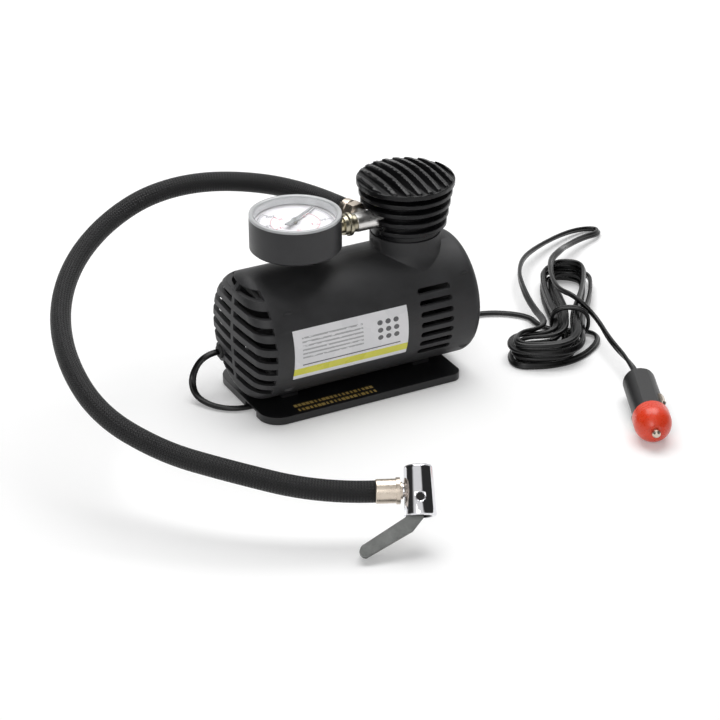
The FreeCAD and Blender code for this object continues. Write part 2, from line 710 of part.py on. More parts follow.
def gearbox():
    front = motor_front
    plate = get("frame_thickness")
    gear_z = gear_axis_z
    shaft = get("gear_shaft_radius")
    bush = shaft + get("bush_wall")
    low = platform_z
    thick = get("platform_thickness")
    inside = front + plate
    wide = get("frame_width")
    frame_low = axis_height - get("frame_drop")
    upright = block("frame_plate", plate, wide, low + thick + get("frame_rise") - frame_low, front, -wide / 2, frame_low)
    platform = block("frame_platform", head_x + get("head_radius") - front, wide - 2, thick, front, 1 - wide / 2, low)
    boss = cylinder("frame_boss", bush + 2, plate + 4.5, front, 0, gear_z, TO_X)
    rib_height = get("frame_rib_height")
    ribs = [block("frame_rib", get("frame_rib"), 2.0, rib_height + 0.5, inside - 0.5, y, low - rib_height)
            for y in (1 - wide / 2, wide / 2 - 3)]
    solids = joined("frame_solids", [upright, platform, boss] + ribs)
    holes = [cylinder("frame_bore", bush, plate + 8, front - 1, 0, gear_z, TO_X),
             cylinder("frame_nose", get("shaft_radius") + 1.0, plate + 2, front - 1, 0, motor_z, TO_X),
             cylinder("frame_barrel", BARREL_OUTER + fit, thick + 2, head_x, 0, low - 1)]
    for x, y in head_screw_places():
        holes.append(cylinder("frame_thread", screw_radius, thick + 2, x, y, low - 1))
    node(cut("gearbox_frame", solids, holes), "gearbox_frame")
    bush_left = front - 0.5
    turned("gear_bush", tube_corners(shaft + run, bush, 0, gear_left - fit * 4 - bush_left),
           bush_left, 0, gear_z, TO_X)
    node(cylinder("gear_shaft", shaft, gear_left + get("gear_thickness") - bush_left + 1, bush_left - 1, 0,
                  gear_z, TO_X), "gear_shaft")
    solid("drive_gear", gear_shape(get("gear_module"), get("gear_teeth"), get("gear_thickness"), shaft),
          gear_left, 0, gear_z, TO_X)


BARREL_OUTER = get("bore_radius") + get("barrel_wall")


def head_screw_places():
    reach = get("head_screw_circle") * math.cos(math.radians(45))
    return [(head_x + across, up) for across in (-reach, reach) for up in (-reach, reach)]


# ---------------------------------------------------------------- pump

def pump():
    gear_z = gear_axis_z
    pin_z = gear_z - get("crank_radius")
    pin = get("pin_radius")
    pin_left = gear_left + get("gear_thickness") + get("open_gap")
    width = get("rod_width")
    node(cylinder("crank_pin", pin, head_x + width / 2 + 1 - pin_left, pin_left, 0, pin_z, TO_X), "crank_pin")
    piston_top = cylinder_top - get("head_clearance") - get("crank_radius") * 2
    bore = get("bore_radius")
    cup = get("cup_height")
    disc_top = piston_top - cup
    disc = cylinder("rod_disc", bore - 0.5, 2.5, head_x, 0, disc_top - 2.5)
    shank = block("rod_shank", width, 6.0, disc_top - 2 - pin_z, head_x - width / 2, -3.0, pin_z)
    eye = cylinder("rod_big_eye", get("rod_eye"), width, head_x - width / 2, 0, pin_z, TO_X)
    hole = cylinder("rod_hole", pin, width + 2, head_x - width / 2 - 1, 0, pin_z, TO_X)
    node(cut("connecting_rod", joined("rod_solids", [disc, shank, eye]), [hole]), "connecting_rod")
    lip = bore - run
    turned("piston_cup", [(0, 0), (lip, 0), (lip, cup), (lip - 1, cup), (lip - 1, cup / 2), (0, cup / 2)],
           head_x, 0, disc_top)
    turned("cup_retainer", [(0, 0), (lip - 1.2, 0), (lip - 1.2, get("retainer_height")),
                            (0, get("retainer_height"))], head_x, 0, disc_top + cup / 2)
    seat = platform_z + get("platform_thickness")
    top = cylinder_top
    flange = get("head_radius")
    barrel = [(bore, seat - 7), (BARREL_OUTER, seat - 7), (BARREL_OUTER, seat), (BARREL_OUTER + 0.9, seat),
              (BARREL_OUTER + 0.9, seat + 2), (BARREL_OUTER, seat + 2), (BARREL_OUTER, top - 4)]
    flange_body = turned_body("barrel_body", barrel + [(flange, top - 4), (flange, top), (bore, top)], head_x, 0, 0)
    node(cut("cylinder_barrel", flange_body, screw_holes(top - 5, 6)), "cylinder_barrel")
    plate = get("plate_thickness")
    disc = cylinder("plate_disc", flange, plate, head_x, 0, top)
    way = cylinder("plate_way", get("valve_radius") / 2, plate + 2, head_x, 0, top - 1)
    node(cut("valve_plate", disc, [way] + screw_holes(top - 1, plate + 2)), "valve_plate")
    low = top + plate
    height = get("head_height")
    arm_y, arm_z = get("outlet_y"), outlet_z
    arm_end = arm_end_x
    dome = cylinder("head_block", flange, height, head_x, 0, low)
    arm = cylinder("head_arm", get("arm_radius"), head_x - arm_end, head_x, arm_y, arm_z, TO_LEFT)
    port = cylinder("head_port", get("port_radius"), NUT_START, port_x, arm_y, port_z, PORT_TURN)
    chamber = cylinder("head_chamber", get("chamber_radius"), height - 3.2, head_x, 0, low)
    bore_way = cylinder("head_way", get("air_way"), head_x - arm_end + 1, head_x, arm_y, arm_z, TO_LEFT)
    port_way = cylinder("head_port_way", get("air_way"), NUT_START + 1, port_x, arm_y, port_z, PORT_TURN)
    node(cut("cylinder_head", joined("head_solids", [dome, arm, port]),
             [chamber, bore_way, port_way] + screw_holes(low - 1, height + 2)), "cylinder_head")
    valve = get("valve_radius")
    turned("outlet_valve", [(0, 0), (valve, 0), (valve, 1.2), (1.2, 1.2), (1.2, 3.2), (0, 3.2)], head_x, 0, low)
    spring_low = low + 1.2
    coil("outlet_spring", 2.0, get("valve_wire"), 5, low + height - 3.2 - spring_low, head_x, 0, spring_low)
    head_top = low + height
    screws("cylinder_screws", [(x, y, head_top) for x, y in head_screw_places()], UPRIGHT,
           head_top - platform_z)


NUT_START = get("port_length")
PORT_TURN = FreeCAD.Rotation(V(0, 0, 1), SIZES["port_lean"]) * TO_Y
PORT_AXIS = PORT_TURN.multVec(V(0, 0, 1))


def port_at(distance):
    """Point on the axis of the hose port, measured from the middle of the outlet arm."""
    return V(port_x, get("outlet_y"), port_z) + PORT_AXIS * distance


def screw_holes(low, height):
    """Threaded holes for the four long screws of the cylinder head."""
    return [cylinder("screw_hole", screw_radius, height, x, y, low) for x, y in head_screw_places()]


def turned_body(label, corners, x, y, z, turn=UPRIGHT):
    body = new_body(label)
    spin(body, "Revolution", corners)
    return place(body, x, y, z, turn)


# ---------------------------------------------------------------- swept tubes

def arc_through(first, corner, last):
    """Middle point and radius of the arc that is tangent to both legs of a corner with equal legs."""
    middle = (first + last) * 0.5
    half = (last - first).Length / 2
    rise = (corner - middle).Length
    if rise < 1e-7:
        return None, math.inf
    turn = math.atan2(rise, half)
    return middle + (corner - middle) * (half * math.tan(turn / 2) / rise), half / math.sin(turn)


def corner_edges(first, corner, last):
    middle, radius = arc_through(first, corner, last)
    if middle is None:
        return [Part.LineSegment(first, last).toShape()], math.inf
    return [Part.Arc(first, middle, last).toShape()], radius


def route_edges(points, largest=math.inf):
    """Straight runs joined by tangent arcs, as large as the two runs allow."""
    points = [V(*p) for p in points]
    edges = []
    radii = []
    start = points[0]
    for before, corner, after in zip(points, points[1:], points[2:]):
        back = before - corner
        on = after - corner
        half_turn = (math.pi - back.getAngle(on)) / 2
        leg = min(0.45 * min(back.Length, on.Length), largest * math.tan(half_turn))
        first = corner + back.normalize() * leg
        last = corner + on.normalize() * leg
        edges.append(Part.LineSegment(start, first).toShape())
        arc, radius = corner_edges(first, corner, last)
        edges += arc
        radii.append(radius)
        start = last
    edges.append(Part.LineSegment(start, points[-1]).toShape())
    return edges, radii


def biarc_edges(stations):
    """Two tangent arcs between each pair of (point, direction) stations."""
    edges = []
    radii = []
    for (first, out), (last, into) in zip(stations, stations[1:]):
        span = last - first
        both = out + into
        spread = 2 * (1 - out.dot(into))
        if spread < 1e-6:
            reach = span.dot(span) / (4 * span.dot(into))
        else:
            reach = (math.sqrt(span.dot(both) ** 2 + spread * span.dot(span)) - span.dot(both)) / spread
        near = first + out * reach
        far = last - into * reach
        joint = (near + far) * 0.5
        for begin, corner, end in ((first, near, joint), (joint, far, last)):
            arc, radius = corner_edges(begin, corner, end)
            edges += arc
            radii.append(radius)
    return edges, radii


def sweep(label, edges, radii, radius):
    """One unbroken round tube along the edges, with its size checked and printed."""
    wire = Part.Wire(edges)
    begin = edges[0].valueAt(edges[0].FirstParameter)
    heading = edges[0].tangentAt(edges[0].FirstParameter)
    ring = Part.Wire([Part.Circle(begin, heading, float(radius)).toShape()])
    made = wire.makePipeShell([ring], True, False)
    wanted = math.pi * radius ** 2 * wire.Length
    print("%-14s length %.0f least radius %.1f volume %.1f of %.1f" % (
        label, wire.Length, min(radii), made.Volume, wanted))
    if len(radii) < 30:
        print("  radii " + " ".join("%.0f" % r for r in radii))
    if abs(made.Volume / wanted - 1) > 0.01:
        raise RuntimeError("%s: tube volume is off" % label)
    return made


def self_gap(edges, radius):
    """Least gap between parts of a tube that are not neighbours along it."""
    points = []
    run_length = 0.0
    for edge in edges:
        count = max(2, int(edge.Length / 1.2))
        for i in range(count):
            value = edge.FirstParameter + (edge.LastParameter - edge.FirstParameter) * i / count
            points.append((run_length + edge.Length * i / count, edge.valueAt(value)))
        run_length += edge.Length
    least = math.inf
    for i, (at, point) in enumerate(points):
        for other_at, other in points[i + 1:]:
            if other_at - at > 16 and abs(other.x - point.x) < 8 and abs(other.y - point.y) < 8:
                least = min(least, (other - point).Length)
    return least - 2 * radius


def coil(label, radius, wire, turns, height, x, y, z):
    """Open compression spring on biarcs of a quarter turn, with its ends laid flat."""
    stations = []
    for i in range(turns * 4 + 1):
        angle = math.pi / 2 * i
        level = wire + (height - wire * 2) * i / (turns * 4)
        point = V(radius * math.cos(angle), radius * math.sin(angle), level)
        rise = (height - wire * 2) / (turns * 2 * math.pi * radius)
        stations.append((point, V(-math.sin(angle), math.cos(angle), rise).normalize()))
    edges, radii = biarc_edges(stations)
    return solid(label, sweep(label, edges, radii, wire), x, y, z)


# ---------------------------------------------------------------- gauge

GAUGE = V(gauge_x, get("gauge_y"), gauge_bottom)


def gauge():
    gx, gy, gz = gauge_x, get("gauge_y"), gauge_bottom
    outer = get("gauge_radius")
    side = get("case_wall")
    top = get("gauge_height") - get("lens_thickness")
    dial_top = top + get("lens_thickness") - get("dial_drop")
    dial_low = dial_top - get("dial_thickness")
    inner = outer - side
    spindle = get("spindle_radius")
    stem = get("stem_radius")
    stem_z = outlet_z - gz
    pivot_y = -gauge_gear_distance()
    sector_z = dial_low - 2.1
    case = turned_body("case_body", [(0, 0), (outer - 1, 0), (outer, 1), (outer, top), (inner, top),
                                     (inner, dial_low), (inner - 1.5, dial_low), (inner - 1.5, side), (0, side)],
                       0, 0, 0)
    post = cylinder("case_post", 2.2, 4.0, 0, 0, 1)
    stud = cylinder("case_stud", 1.4, sector_z - 1 - fit, 0, pivot_y, 1)
    pin = cylinder("case_pin", 0.7, sector_z + 1.6, 0, pivot_y, 0.5)
    bearing = cylinder("case_bearing", spindle + run, 4.0, 0, 0, 2.5)
    passage = cylinder("case_passage", stem, outer, 10, 0, stem_z, TO_X)
    made = cut("gauge_case", joined("case_solids", [case, post, stud, pin]), [bearing, passage])
    node(place(made, gx, gy, gz), "gauge_case")
    lens = get("lens_thickness")
    rim = get("lens_rim")
    lens_corners = [(0, 0.3), (inner - fit - 1, 0.3), (inner - fit - 1, -1.2), (inner - fit, -1.2), (inner - fit, 0),
                    (outer, 0), (outer, lens - 0.5), (outer - 0.5, lens), (outer - rim, lens),
                    (outer - rim - 0.6, lens - 0.5), (0, lens - 0.5)]
    turned("gauge_lens", lens_corners, gx, gy, gz + top)
    turned("gauge_dial", tube_corners(spindle + 0.4, inner - fit, 0, get("dial_thickness")), gx, gy, gz + dial_low)
    needle_z = dial_top + get("needle_rise")
    spindle_low = sized(2.6)
    shaft = Part.makeCylinder(float(spindle), float(needle_z + 0.6 - spindle_low))
    wheel = gear_shape(get("sector_module"), get("spindle_teeth"), 1.4, spindle * 0.5)
    wheel.rotate(V(0, 0, 0), V(0, 0, 1), 180.0 / float(get("spindle_teeth")))
    wheel.translate(V(0, 0, float(sector_z - 0.2 - spindle_low)))
    solid("needle_spindle", shaft.fuse(wheel).removeSplitter(), gx, gy, gz + spindle_low)
    pointer(gx, gy, gz + needle_z)
    tube_ring = doc.addObject("Part::Torus", "tube_ring")
    bind(tube_ring, "Radius1", get("bourdon_radius"))
    bind(tube_ring, "Radius2", get("bourdon_section"))
    tube_ring.Angle3 = 270.0
    place(tube_ring, 0, 0, stem_z)
    stub = cylinder("tube_stub", stem, outer, 10, 0, stem_z, TO_X)
    node(place(cut("bourdon_tube", tube_ring, [stub]), gx, gy, gz), "bourdon_tube")
    first = int(round(get("sector_teeth") * 40 / 360))
    last = int(round(get("sector_teeth") * 96 / 360))
    solid("gauge_sector", gear_shape(get("sector_module"), get("sector_teeth"), 1.0, 0.75, first, last),
          gx, gy + pivot_y, gz + sector_z)
    stem_left = gx + get("bourdon_radius") - get("bourdon_section") - 1.4
    socket = cylinder("stem_solid", stem, tee_left_x - stem_left, stem_left, gy, outlet_z, TO_X)
    air = cylinder("stem_air", 1.2, tee_left_x - stem_left, stem_left + 2, gy, outlet_z, TO_X)
    node(cut("gauge_stem", socket, [air]), "gauge_stem")


def gauge_gear_distance():
    return get("sector_module") * (get("sector_teeth") + get("spindle_teeth")) / 2 + 0.03


def pointer(x, y, z):
    """Gauge needle with a tapered point and a short broad tail, resting at the zero mark."""
    body = new_body("gauge_needle")
    hub = get("spindle_radius")
    reach = get("needle_reach")
    pad(body, "XY_Plane", 0.6, circles=[(0, 0, hub + 1.4)])
    pad(body, "XY_Plane", 0.6, outlines=[[(reach, -0.25), (reach, 0.25), (1, 0.9), (-5.5, 1.4), (-5.5, -1.4),
                                          (1, -0.9)]])
    pocket(body, "XY_Plane", 2.0, True, circles=[(0, 0, hub)], shift=(0, 0, -0.5))
    place(body, x, y, z, FreeCAD.Rotation(V(0, 0, 1), 33))
    return node(body, "gauge_needle")


# ---------------------------------------------------------------- outlet and hose

HOSE_POINTS = [(-44.1, 71.6, 105.3), (-82.1, 75.8, 103.7), (-113.4, 72.2, 92.5), (-142.3, 50.9, 82.4),
               (-163.7, 18.2, 72.3), (-175.5, -23.7, 63.4), (-173.9, -62.9, 51.8), (-153.6, -93.2, 40.7),
               (-131.7, -119.5, 37.8)]
CHUCK = V(-46.4, -169.0, 28.0)
MOUTH = V(0.248, 0.595, 0.767).normalize()
TOWARDS_HOSE = V(-0.91, 0.41, 0.0).normalize()
CHUCK_TURN = FreeCAD.Rotation(TOWARDS_HOSE, MOUTH.cross(TOWARDS_HOSE), MOUTH, "XZY")


def outlet():
    end = arm_end_x
    left = tee_left_x
    y, z = get("outlet_y"), outlet_z
    ring = get("ring_radius")
    middle = get("ring_place")
    half = get("ring_width") / 2
    bore = get("air_way")
    turned("tee_fitting", [(bore, 0), (ring - 1.0, 0), (ring - 1.0, middle - half), (ring - 0.5, middle - half),
                           (ring, middle - half + 0.5), (ring, middle + half - 0.5), (ring - 0.5, middle + half),
                           (ring - 1.6, middle + half), (ring - 1.6, end - left), (bore, end - left)],
           left, y, z, TO_X)
    nut = get("nut_length")
    prism = doc.addObject("Part::Prism", "nut_solid")
    prism.Polygon = 6
    bind(prism, "Circumradius", get("nut_radius"))
    bind(prism, "Height", nut)
    at = port_at(NUT_START)
    place(prism, at.x, at.y, at.z, PORT_TURN)
    under = port_at(NUT_START - 1)
    hole = cylinder("nut_bore", bore, nut + 2, under.x, under.y, under.z, PORT_TURN)
    node(cut("hose_nut", prism, [hole]), "hose_nut")
    length = get("ferrule_length")
    outer = get("ferrule_radius")
    at = port_at(NUT_START + nut)
    turned("pump_ferrule", [(bore, 0), (outer - 0.8, 0), (outer, 0.8), (outer, length - 0.6), (outer - 0.5, length),
                            (bore, length)], at.x, at.y, at.z, PORT_TURN)


def hose():
    begin = port_at(NUT_START + get("nut_length") + get("ferrule_length"))
    end = CHUCK + TOWARDS_HOSE * HOSE_END
    points = [tuple(begin), tuple(begin + PORT_AXIS * 38.8)] + HOSE_POINTS
    points += [tuple(end + TOWARDS_HOSE * 27.8), tuple(end)]
    edges, radii = route_edges(points)
    solid("hose", sweep("hose", edges, radii, get("hose_diameter") / 2), 0, 0, 0)


BOSS_END = 8.4
HOSE_END = BOSS_END + float(get("chuck_ferrule_length"))


def chuck():
    cx, cy, cz = CHUCK
    top = get("chuck_top")
    base = get("chuck_base")
    half = get("chuck_length") / 2
    low, high = -(half - 0.6), half - 1.4
    shell = turned_body("chuck_shell", [(0, low), (base - 0.6, low), (base, low + 0.8), (top + 0.2, high - 1.6, 1.8, -1),
                                        (top - 1.4, high), (0, high)], 0, 0, 0)
    boss = cylinder("chuck_boss", 3.6, BOSS_END - 6.3, 6.3, 0, 0, TO_X)
    cavity = get("chuck_cavity")
    mouth = get("chuck_mouth")
    lever_bore = get("chuck_lever_bore")
    slot = get("lever_width") / 2 + 0.4
    pivot = get("chuck_pivot")
    tools = [cylinder("chuck_low", lever_bore, 0.2 - low + 1, 0, 0, low - 1),
             cylinder("chuck_cavity", cavity, high - 3.0, 0, 0, 0),
             cylinder("chuck_opening", mouth, half * 2, 0, 0, 0),
             block("chuck_slot", base + 2, slot * 2, -3.5 - low + 1, 0, -slot, low - 1),
             cylinder("chuck_pin_hole", get("chuck_pin_radius"), base * 4, 0, -base * 2, -pivot, TO_Y),
             cylinder("chuck_eye", get("chuck_eye"), base, 0, base - get("chuck_eye_depth"), -pivot, TO_Y)]
    made = cut("chuck_body", joined("chuck_solids", [shell, boss]), tools)
    node(place(made, cx, cy, cz, CHUCK_TURN), "chuck_body")
    radius = get("chuck_pin_radius")
    reach = base - 0.5
    at = CHUCK + CHUCK_TURN.multVec(V(0, -reach, -pivot))
    node(cylinder("chuck_pin", radius, reach * 2 - get("chuck_eye_depth"), at.x, at.y, at.z, CHUCK_TURN * TO_Y), "chuck_pin")
    lever(radius, pivot)
    seal_low = high - 7.6
    at = CHUCK + CHUCK_TURN.multVec(V(0, 0, seal_low))
    turned("chuck_seal", tube_corners(mouth - 0.7, cavity - run, 0, high - 3.0 - seal_low), at.x, at.y, at.z, CHUCK_TURN)
    at = CHUCK + CHUCK_TURN.multVec(V(0, 0, get("open_gap")))
    turned("chuck_plunger", tube_corners(1.2, cavity - fit, 0, 3.4), at.x, at.y, at.z, CHUCK_TURN)
    at = CHUCK + CHUCK_TURN.multVec(V(BOSS_END, 0, 0))
    long = get("chuck_ferrule_length")
    outer = get("ferrule_radius")
    turned("chuck_ferrule", [(get("air_way"), 0), (4.4, 0), (4.4, 1.2), (outer + 0.6, 1.2), (outer + 0.6, 3.2),
                             (outer, 3.2), (outer, long - 0.6), (outer - 0.5, long), (get("air_way"), long)],
           at.x, at.y, at.z, CHUCK_TURN * TO_X)


def lever(pin, pivot):
    """Cam lever of the chuck, drawn about its pivot with the arm laid down and out."""
    body = new_body("lever_arm")
    half = get("lever_width") / 2
    head = cylinder("lever_head", get("lever_head"), half * 2, 0, -half, 0, TO_Y)
    arm = pad(body, "XZ_Plane", half * 2, True, outlines=[[
        (-1.5, -1.0), (3.4, -2.8), (8.0, -9.8), (28.8, -22.4, 3.4, 1), (27.6, -29.0), (3.9, -16.4),
        (-1.5, -10.0)]], shift=(0, 0, half))
    hole = cylinder("lever_hole", pin + run, half * 4, 0, -half * 2, 0, TO_Y)
    made = cut("chuck_lever", joined("lever_solids", [body, head]), [hole])
    at = CHUCK + CHUCK_TURN.multVec(V(0, 0, -pivot))
    return node(place(made, at.x, at.y, at.z, CHUCK_TURN), "chuck_lever")


# ---------------------------------------------------------------- cord

HANK = V(135.6, -24.1, 0)
HANK_ALONG = V(0.5165, 0.8563, 0)
HANK_ACROSS = V(0.8563, -0.5165, 0)
HANK_BEND = 22.0
HANK_LOW = 34.0
HANK_LEAVING = 30.0
LAYER_STEP = 4.15
LAYER_LEAN = 2.0
WAIST_LIFT = 3.9
WAIST_PITCH = 4.35
HANK_FIRST = 0.125
HANK_LAST = 5.375
# station: eighths of a turn, kind, side of the waist line and direction along it
HANK_TURN = [(0, "waist", 1, -1), (1, "low", 1, -1), (2, "low_end", 0, 0), (3, "low", -1, 1), (4, "waist", -1, 1),
             (4.35, "neck", -1, 1), (5, "high", -1, 1), (5.5, "top", -1, 1), (6, "top_end", 0, 0),
             (6.5, "top", 1, -1), (7, "high", 1, -1), (7.65, "neck", 1, -1)]


def hank_point(along, across, height):
    """Point and axes in the hank's own strip: straight above the waist, curved below it as far as its low end."""
    if along >= 0:
        return HANK + HANK_ALONG * along + HANK_ACROSS * across + V(0, 0, height), HANK_ALONG, HANK_ACROSS
    curved = max(along, -HANK_LOW)
    turn = FreeCAD.Rotation(V(0, 0, 1), math.degrees(curved / HANK_BEND))
    out = turn.multVec(HANK_ACROSS)
    axis = V(-out.y, out.x, 0)
    at = HANK - HANK_ACROSS * HANK_BEND + out * (HANK_BEND + across) + axis * (along - curved)
    return at + V(0, 0, height), axis, out


def hank_stations(radius):
    """Loops that spiral in and out again, a layer higher each time the spiral turns back."""
    stations = []
    for count in range(6):
        for eighth, kind, side, way in HANK_TURN:
            turns = count + eighth / 8
            if turns < HANK_FIRST - 1e-9 or turns > HANK_LAST + 1e-9:
                continue
            layer = int(turns / 1.5 + 1e-9)
            phase = turns - 1.5 * layer
            step = 2 - phase if layer % 2 == 0 else 0.5 + phase
            column = step - 0.25 * (1 + side)
            height = float(radius)
            lean = 0.0
            for change, sign in ((1.5, 1), (3.0, -1), (4.5, 1)):
                share = min(max((turns - change + 0.125) / 0.25, 0.0), 1.0)
                share = share * share * (3 - 2 * share)
                height += LAYER_STEP * share
                lean += LAYER_LEAN * share * sign
            if kind == "waist":
                along, across, height = 0, column * WAIST_PITCH, height + WAIST_LIFT
            elif kind == "neck":
                along, across, height = 16, column * WAIST_PITCH + 0.2, height + WAIST_LIFT
            elif kind == "low":
                along, across = -HANK_LOW, column * 4.5 + 5.6
            elif kind == "low_end":
                along, across = -(HANK_LOW + column * 4.5 + 5.6), 0
            elif kind == "high":
                along, across = 46, column * 4.6 + 7.5
            elif kind == "top":
                along, across = 73, column * 4.6 + 7.5
            else:
                along, across = 73 + column * 4.6 + 7.5, 0
            at, axis, out = hank_point(along, across * side + lean, height)
            heading = axis * way if way else (out if kind == "top_end" else out * -1)
            stations.append((at, heading))
    last, heading = stations[-1]
    stations[-1] = (last, FreeCAD.Rotation(V(0, 0, 1), HANK_LEAVING).multVec(heading))
    return stations


LEAD_POINTS = [(-79.8, 19.0, 25.0), (-87.5, 19.0, 14.0), (-88.5, 14.0, 4.5), (-84.0, 3.0, 1.8), (-74.0, -7.5, 1.75),
               (-59.0, -9.5, 1.7), (-34.0, -3.0, 1.75), (2.0, 1.5, 1.7), (36.0, 2.0, 1.75), (58.0, 12.0, 1.7),
               (79.0, 26.0, 1.75), (101.0, 33.0, 1.75), (119.3, 27.0, 1.7)]
LEAD_UNDER = [(31.0, -22.5), (20.0, -17.5), (13.5, -9.0), (13.5, 11.0), (8.0, 18.0), (-2.0, 17.5),
              (-12.0, 14.5), (-21.0, 13.0)]
TAIL_POINTS = [(122.1, -19.4, 14.0), (126.4, -9.2, 12.8), (129.3, 0.7, 11.0), (134.3, 17.5, 10.0),
               (139.8, 32.9, 10.0), (148.5, 52.8, 10.3), (163.9, 73.2, 8.8), (185.0, 87.8, 6.6),
               (210.1, 99.7, 4.6), (228.0, 104.4, 2.6), (238.2, 101.0, 2.0), (233.7, 91.9, 3.4), (217.1, 86.4, 6.0),
               (195.6, 73.8, 9.3), (183.1, 58.5, 16.8), (165.5, 44.2, 19.2), (152.9, 23.0, 20.3), (146.0, 3.4, 21.0),
               (147.8, -11.6, 23.0), (155.5, -25.0, 12.0), (147.9, -50.0, 10.5)]
PLUG_REAR = V(137.2, -93.5, 10.5)
PLUG_AXIS = V(-0.424, -0.906, 0).normalize()
PLUG_SIDE = V(0.906, -0.424, 0).normalize()
PLUG_TURN = FreeCAD.Rotation(PLUG_SIDE, V(0, 0, 1), PLUG_AXIS, "ZYX")


def cord():
    radius = get("cord_diameter") / 2
    stations = hank_stations(radius)
    first, heading = stations[0]
    last, leaving = stations[-1]
    exit_y, exit_z = CORD_EXIT
    start = V(GROMMET_X, exit_y, exit_z)
    under = [tuple(hank_point(along, across, float(radius))[0]) for along, across in LEAD_UNDER]
    points = [tuple(start)] + LEAD_POINTS + under + [tuple(first - heading * 6), tuple(first)]
    edges, radii = route_edges(points)
    solid("cord_lead", sweep("cord_lead", edges, radii, radius), 0, 0, 0)
    edges, radii = biarc_edges(stations)
    solid("cord_hank", sweep("cord_hank", edges, radii, radius), 0, 0, 0)
    print("hank least gap to itself %.2f" % self_gap(edges, float(radius)))
    points = [tuple(last), tuple(last + leaving * 5.0)] + TAIL_POINTS
    points += [tuple(PLUG_REAR - PLUG_AXIS * 12), tuple(PLUG_REAR)]
    edges, radii = route_edges(points)
    solid("cord_tail", sweep("cord_tail", edges, radii, radius), 0, 0, 0)
    cord_tie(float(radius))


GROMMET_X = -70.7


def cord_tie(radius):
    """Thin tie wound twice round the waist of the hank."""
    wire = float(get("tie_radius"))
    clear = radius + wire + 0.45
    left = -(1.5 * WAIST_PITCH + 0.2 + clear)
    right = 1.5 * WAIST_PITCH + 0.2 + LAYER_LEAN + clear
    low = radius + WAIST_LIFT - clear
    high = radius + WAIST_LIFT + 3 * LAYER_STEP + clear
    points = []
    for i in range(10):
        across = right if i % 4 in (1, 2) else left
        height = high if i % 4 in (2, 3) else low
        if i == 0:
            across = -2.0
        points.append(tuple(hank_point(1.8 + 2.4 * (i + 0.5) / 4, across, height)[0]))
    points[-1] = tuple(hank_point(1.8 + 2.4 * 9.5 / 4, 2.0, low)[0])
    edges, radii = route_edges(points, 3.2)
    solid("cord_tie", sweep("cord_tie", edges, radii, wire), 0, 0, 0)


def grommet():
    exit_y, exit_z = CORD_EXIT
    seat = left_face - 0.4
    flange = seat - GROMMET_X
    turned("cord_grommet", [(0, 0), (3.4, 0), (4.0, 0.6), (4.0, flange), (3.0, flange), (3.0, flange + 6.5),
                            (0, flange + 6.5)], GROMMET_X, exit_y, exit_z, TO_X)


def plug():
    px, py, pz = PLUG_REAR
    body = get("plug_radius")
    length = get("plug_length")
    core = get("plug_bore")
    shell = turned_body("plug_shell", [(0, 0), (3.4, 0), (4.0, 3), (body - 2.4, 3.6), (body, 7), (body, length), (0, length)], 0, 0, 0)
    flat = block("plug_flat", 30.0, 6.0, length - 4, -15.0, body - 0.9, 5.0)
    lean = FreeCAD.Rotation(V(0, 0, 1), 43)
    width = get("contact_width")
    slot = block("plug_slot", 40.0, width + 0.6, get("contact_length") + 0.6, 0, 0, 0)
    corner = lean.multVec(V(-20, -float(width) / 2 - 0.3, 0))
    place(slot, corner.x, corner.y, length - 13.3, lean)
    hollow = cylinder("plug_hollow", core, length, 0, 0, 9.0)
    made = cut("plug_body", shell, [flat, slot, hollow])
    node(place(made, px, py, pz, PLUG_TURN), "plug_body")
    cap = get("cap_radius")
    band = get("cap_length")
    tip = get("tip_radius")
    tip_out = get("cap_dome")
    at = PLUG_REAR + PLUG_AXIS * length
    turned("plug_cap", [(core, 0), (cap - 0.8, 0), (cap, 0.8), (cap, band, 12.0, -1), (tip + 1.6, band + tip_out),
                        (tip + run, band + tip_out), (tip + run, band + tip_out - 4), (core, band + tip_out - 4)],
           at.x, at.y, at.z, PLUG_TURN)
    wall_at = band + tip_out - 4 - get("open_gap")
    at = PLUG_REAR + PLUG_AXIS * (length + wall_at - 2)
    turned("plug_tip", [(0, -2), (2.2, -2), (2.2, 0), (core - 0.8, 0), (core - 0.8, 2), (tip, 2), (tip, 8.4),
                        (tip - 1.0, 9.8), (0, 9.8)], at.x, at.y, at.z, PLUG_TURN)
    at = PLUG_REAR + PLUG_AXIS * (length + wall_at - 8 - get("fuse_length"))
    node(cylinder("plug_fuse", get("fuse_radius"), get("fuse_length"), at.x, at.y, at.z, PLUG_TURN), "plug_fuse")
    for label, roll in (("plug_side_contact_a", 43), ("plug_side_contact_b", 223)):
        turn = PLUG_TURN * FreeCAD.Rotation(V(0, 0, 1), roll)
        inner = core + 0.4
        made = new_body(label)
        tall = get("contact_length")
        pad(made, "XZ_Plane", width, True, outlines=[[
            (inner, 0), (body + 0.2, 0), (body + 1.6, 2.4), (body + 1.6, tall - 2.4), (body + 0.2, tall), (inner, tall)]],
            shift=(0, 0, width / 2))
        at = PLUG_REAR + PLUG_AXIS * (length - 13)
        place(made, at.x, at.y, at.z, turn)
        node(made, label)


front_housing()
rear_housing()
base_and_screws()
head_cover()
side_label()
motor()
gearbox()
pump()
gauge()
outlet()
hose()
chuck()
grommet()
cord()
plug()


# ---------------------------------------------------------------- check and write

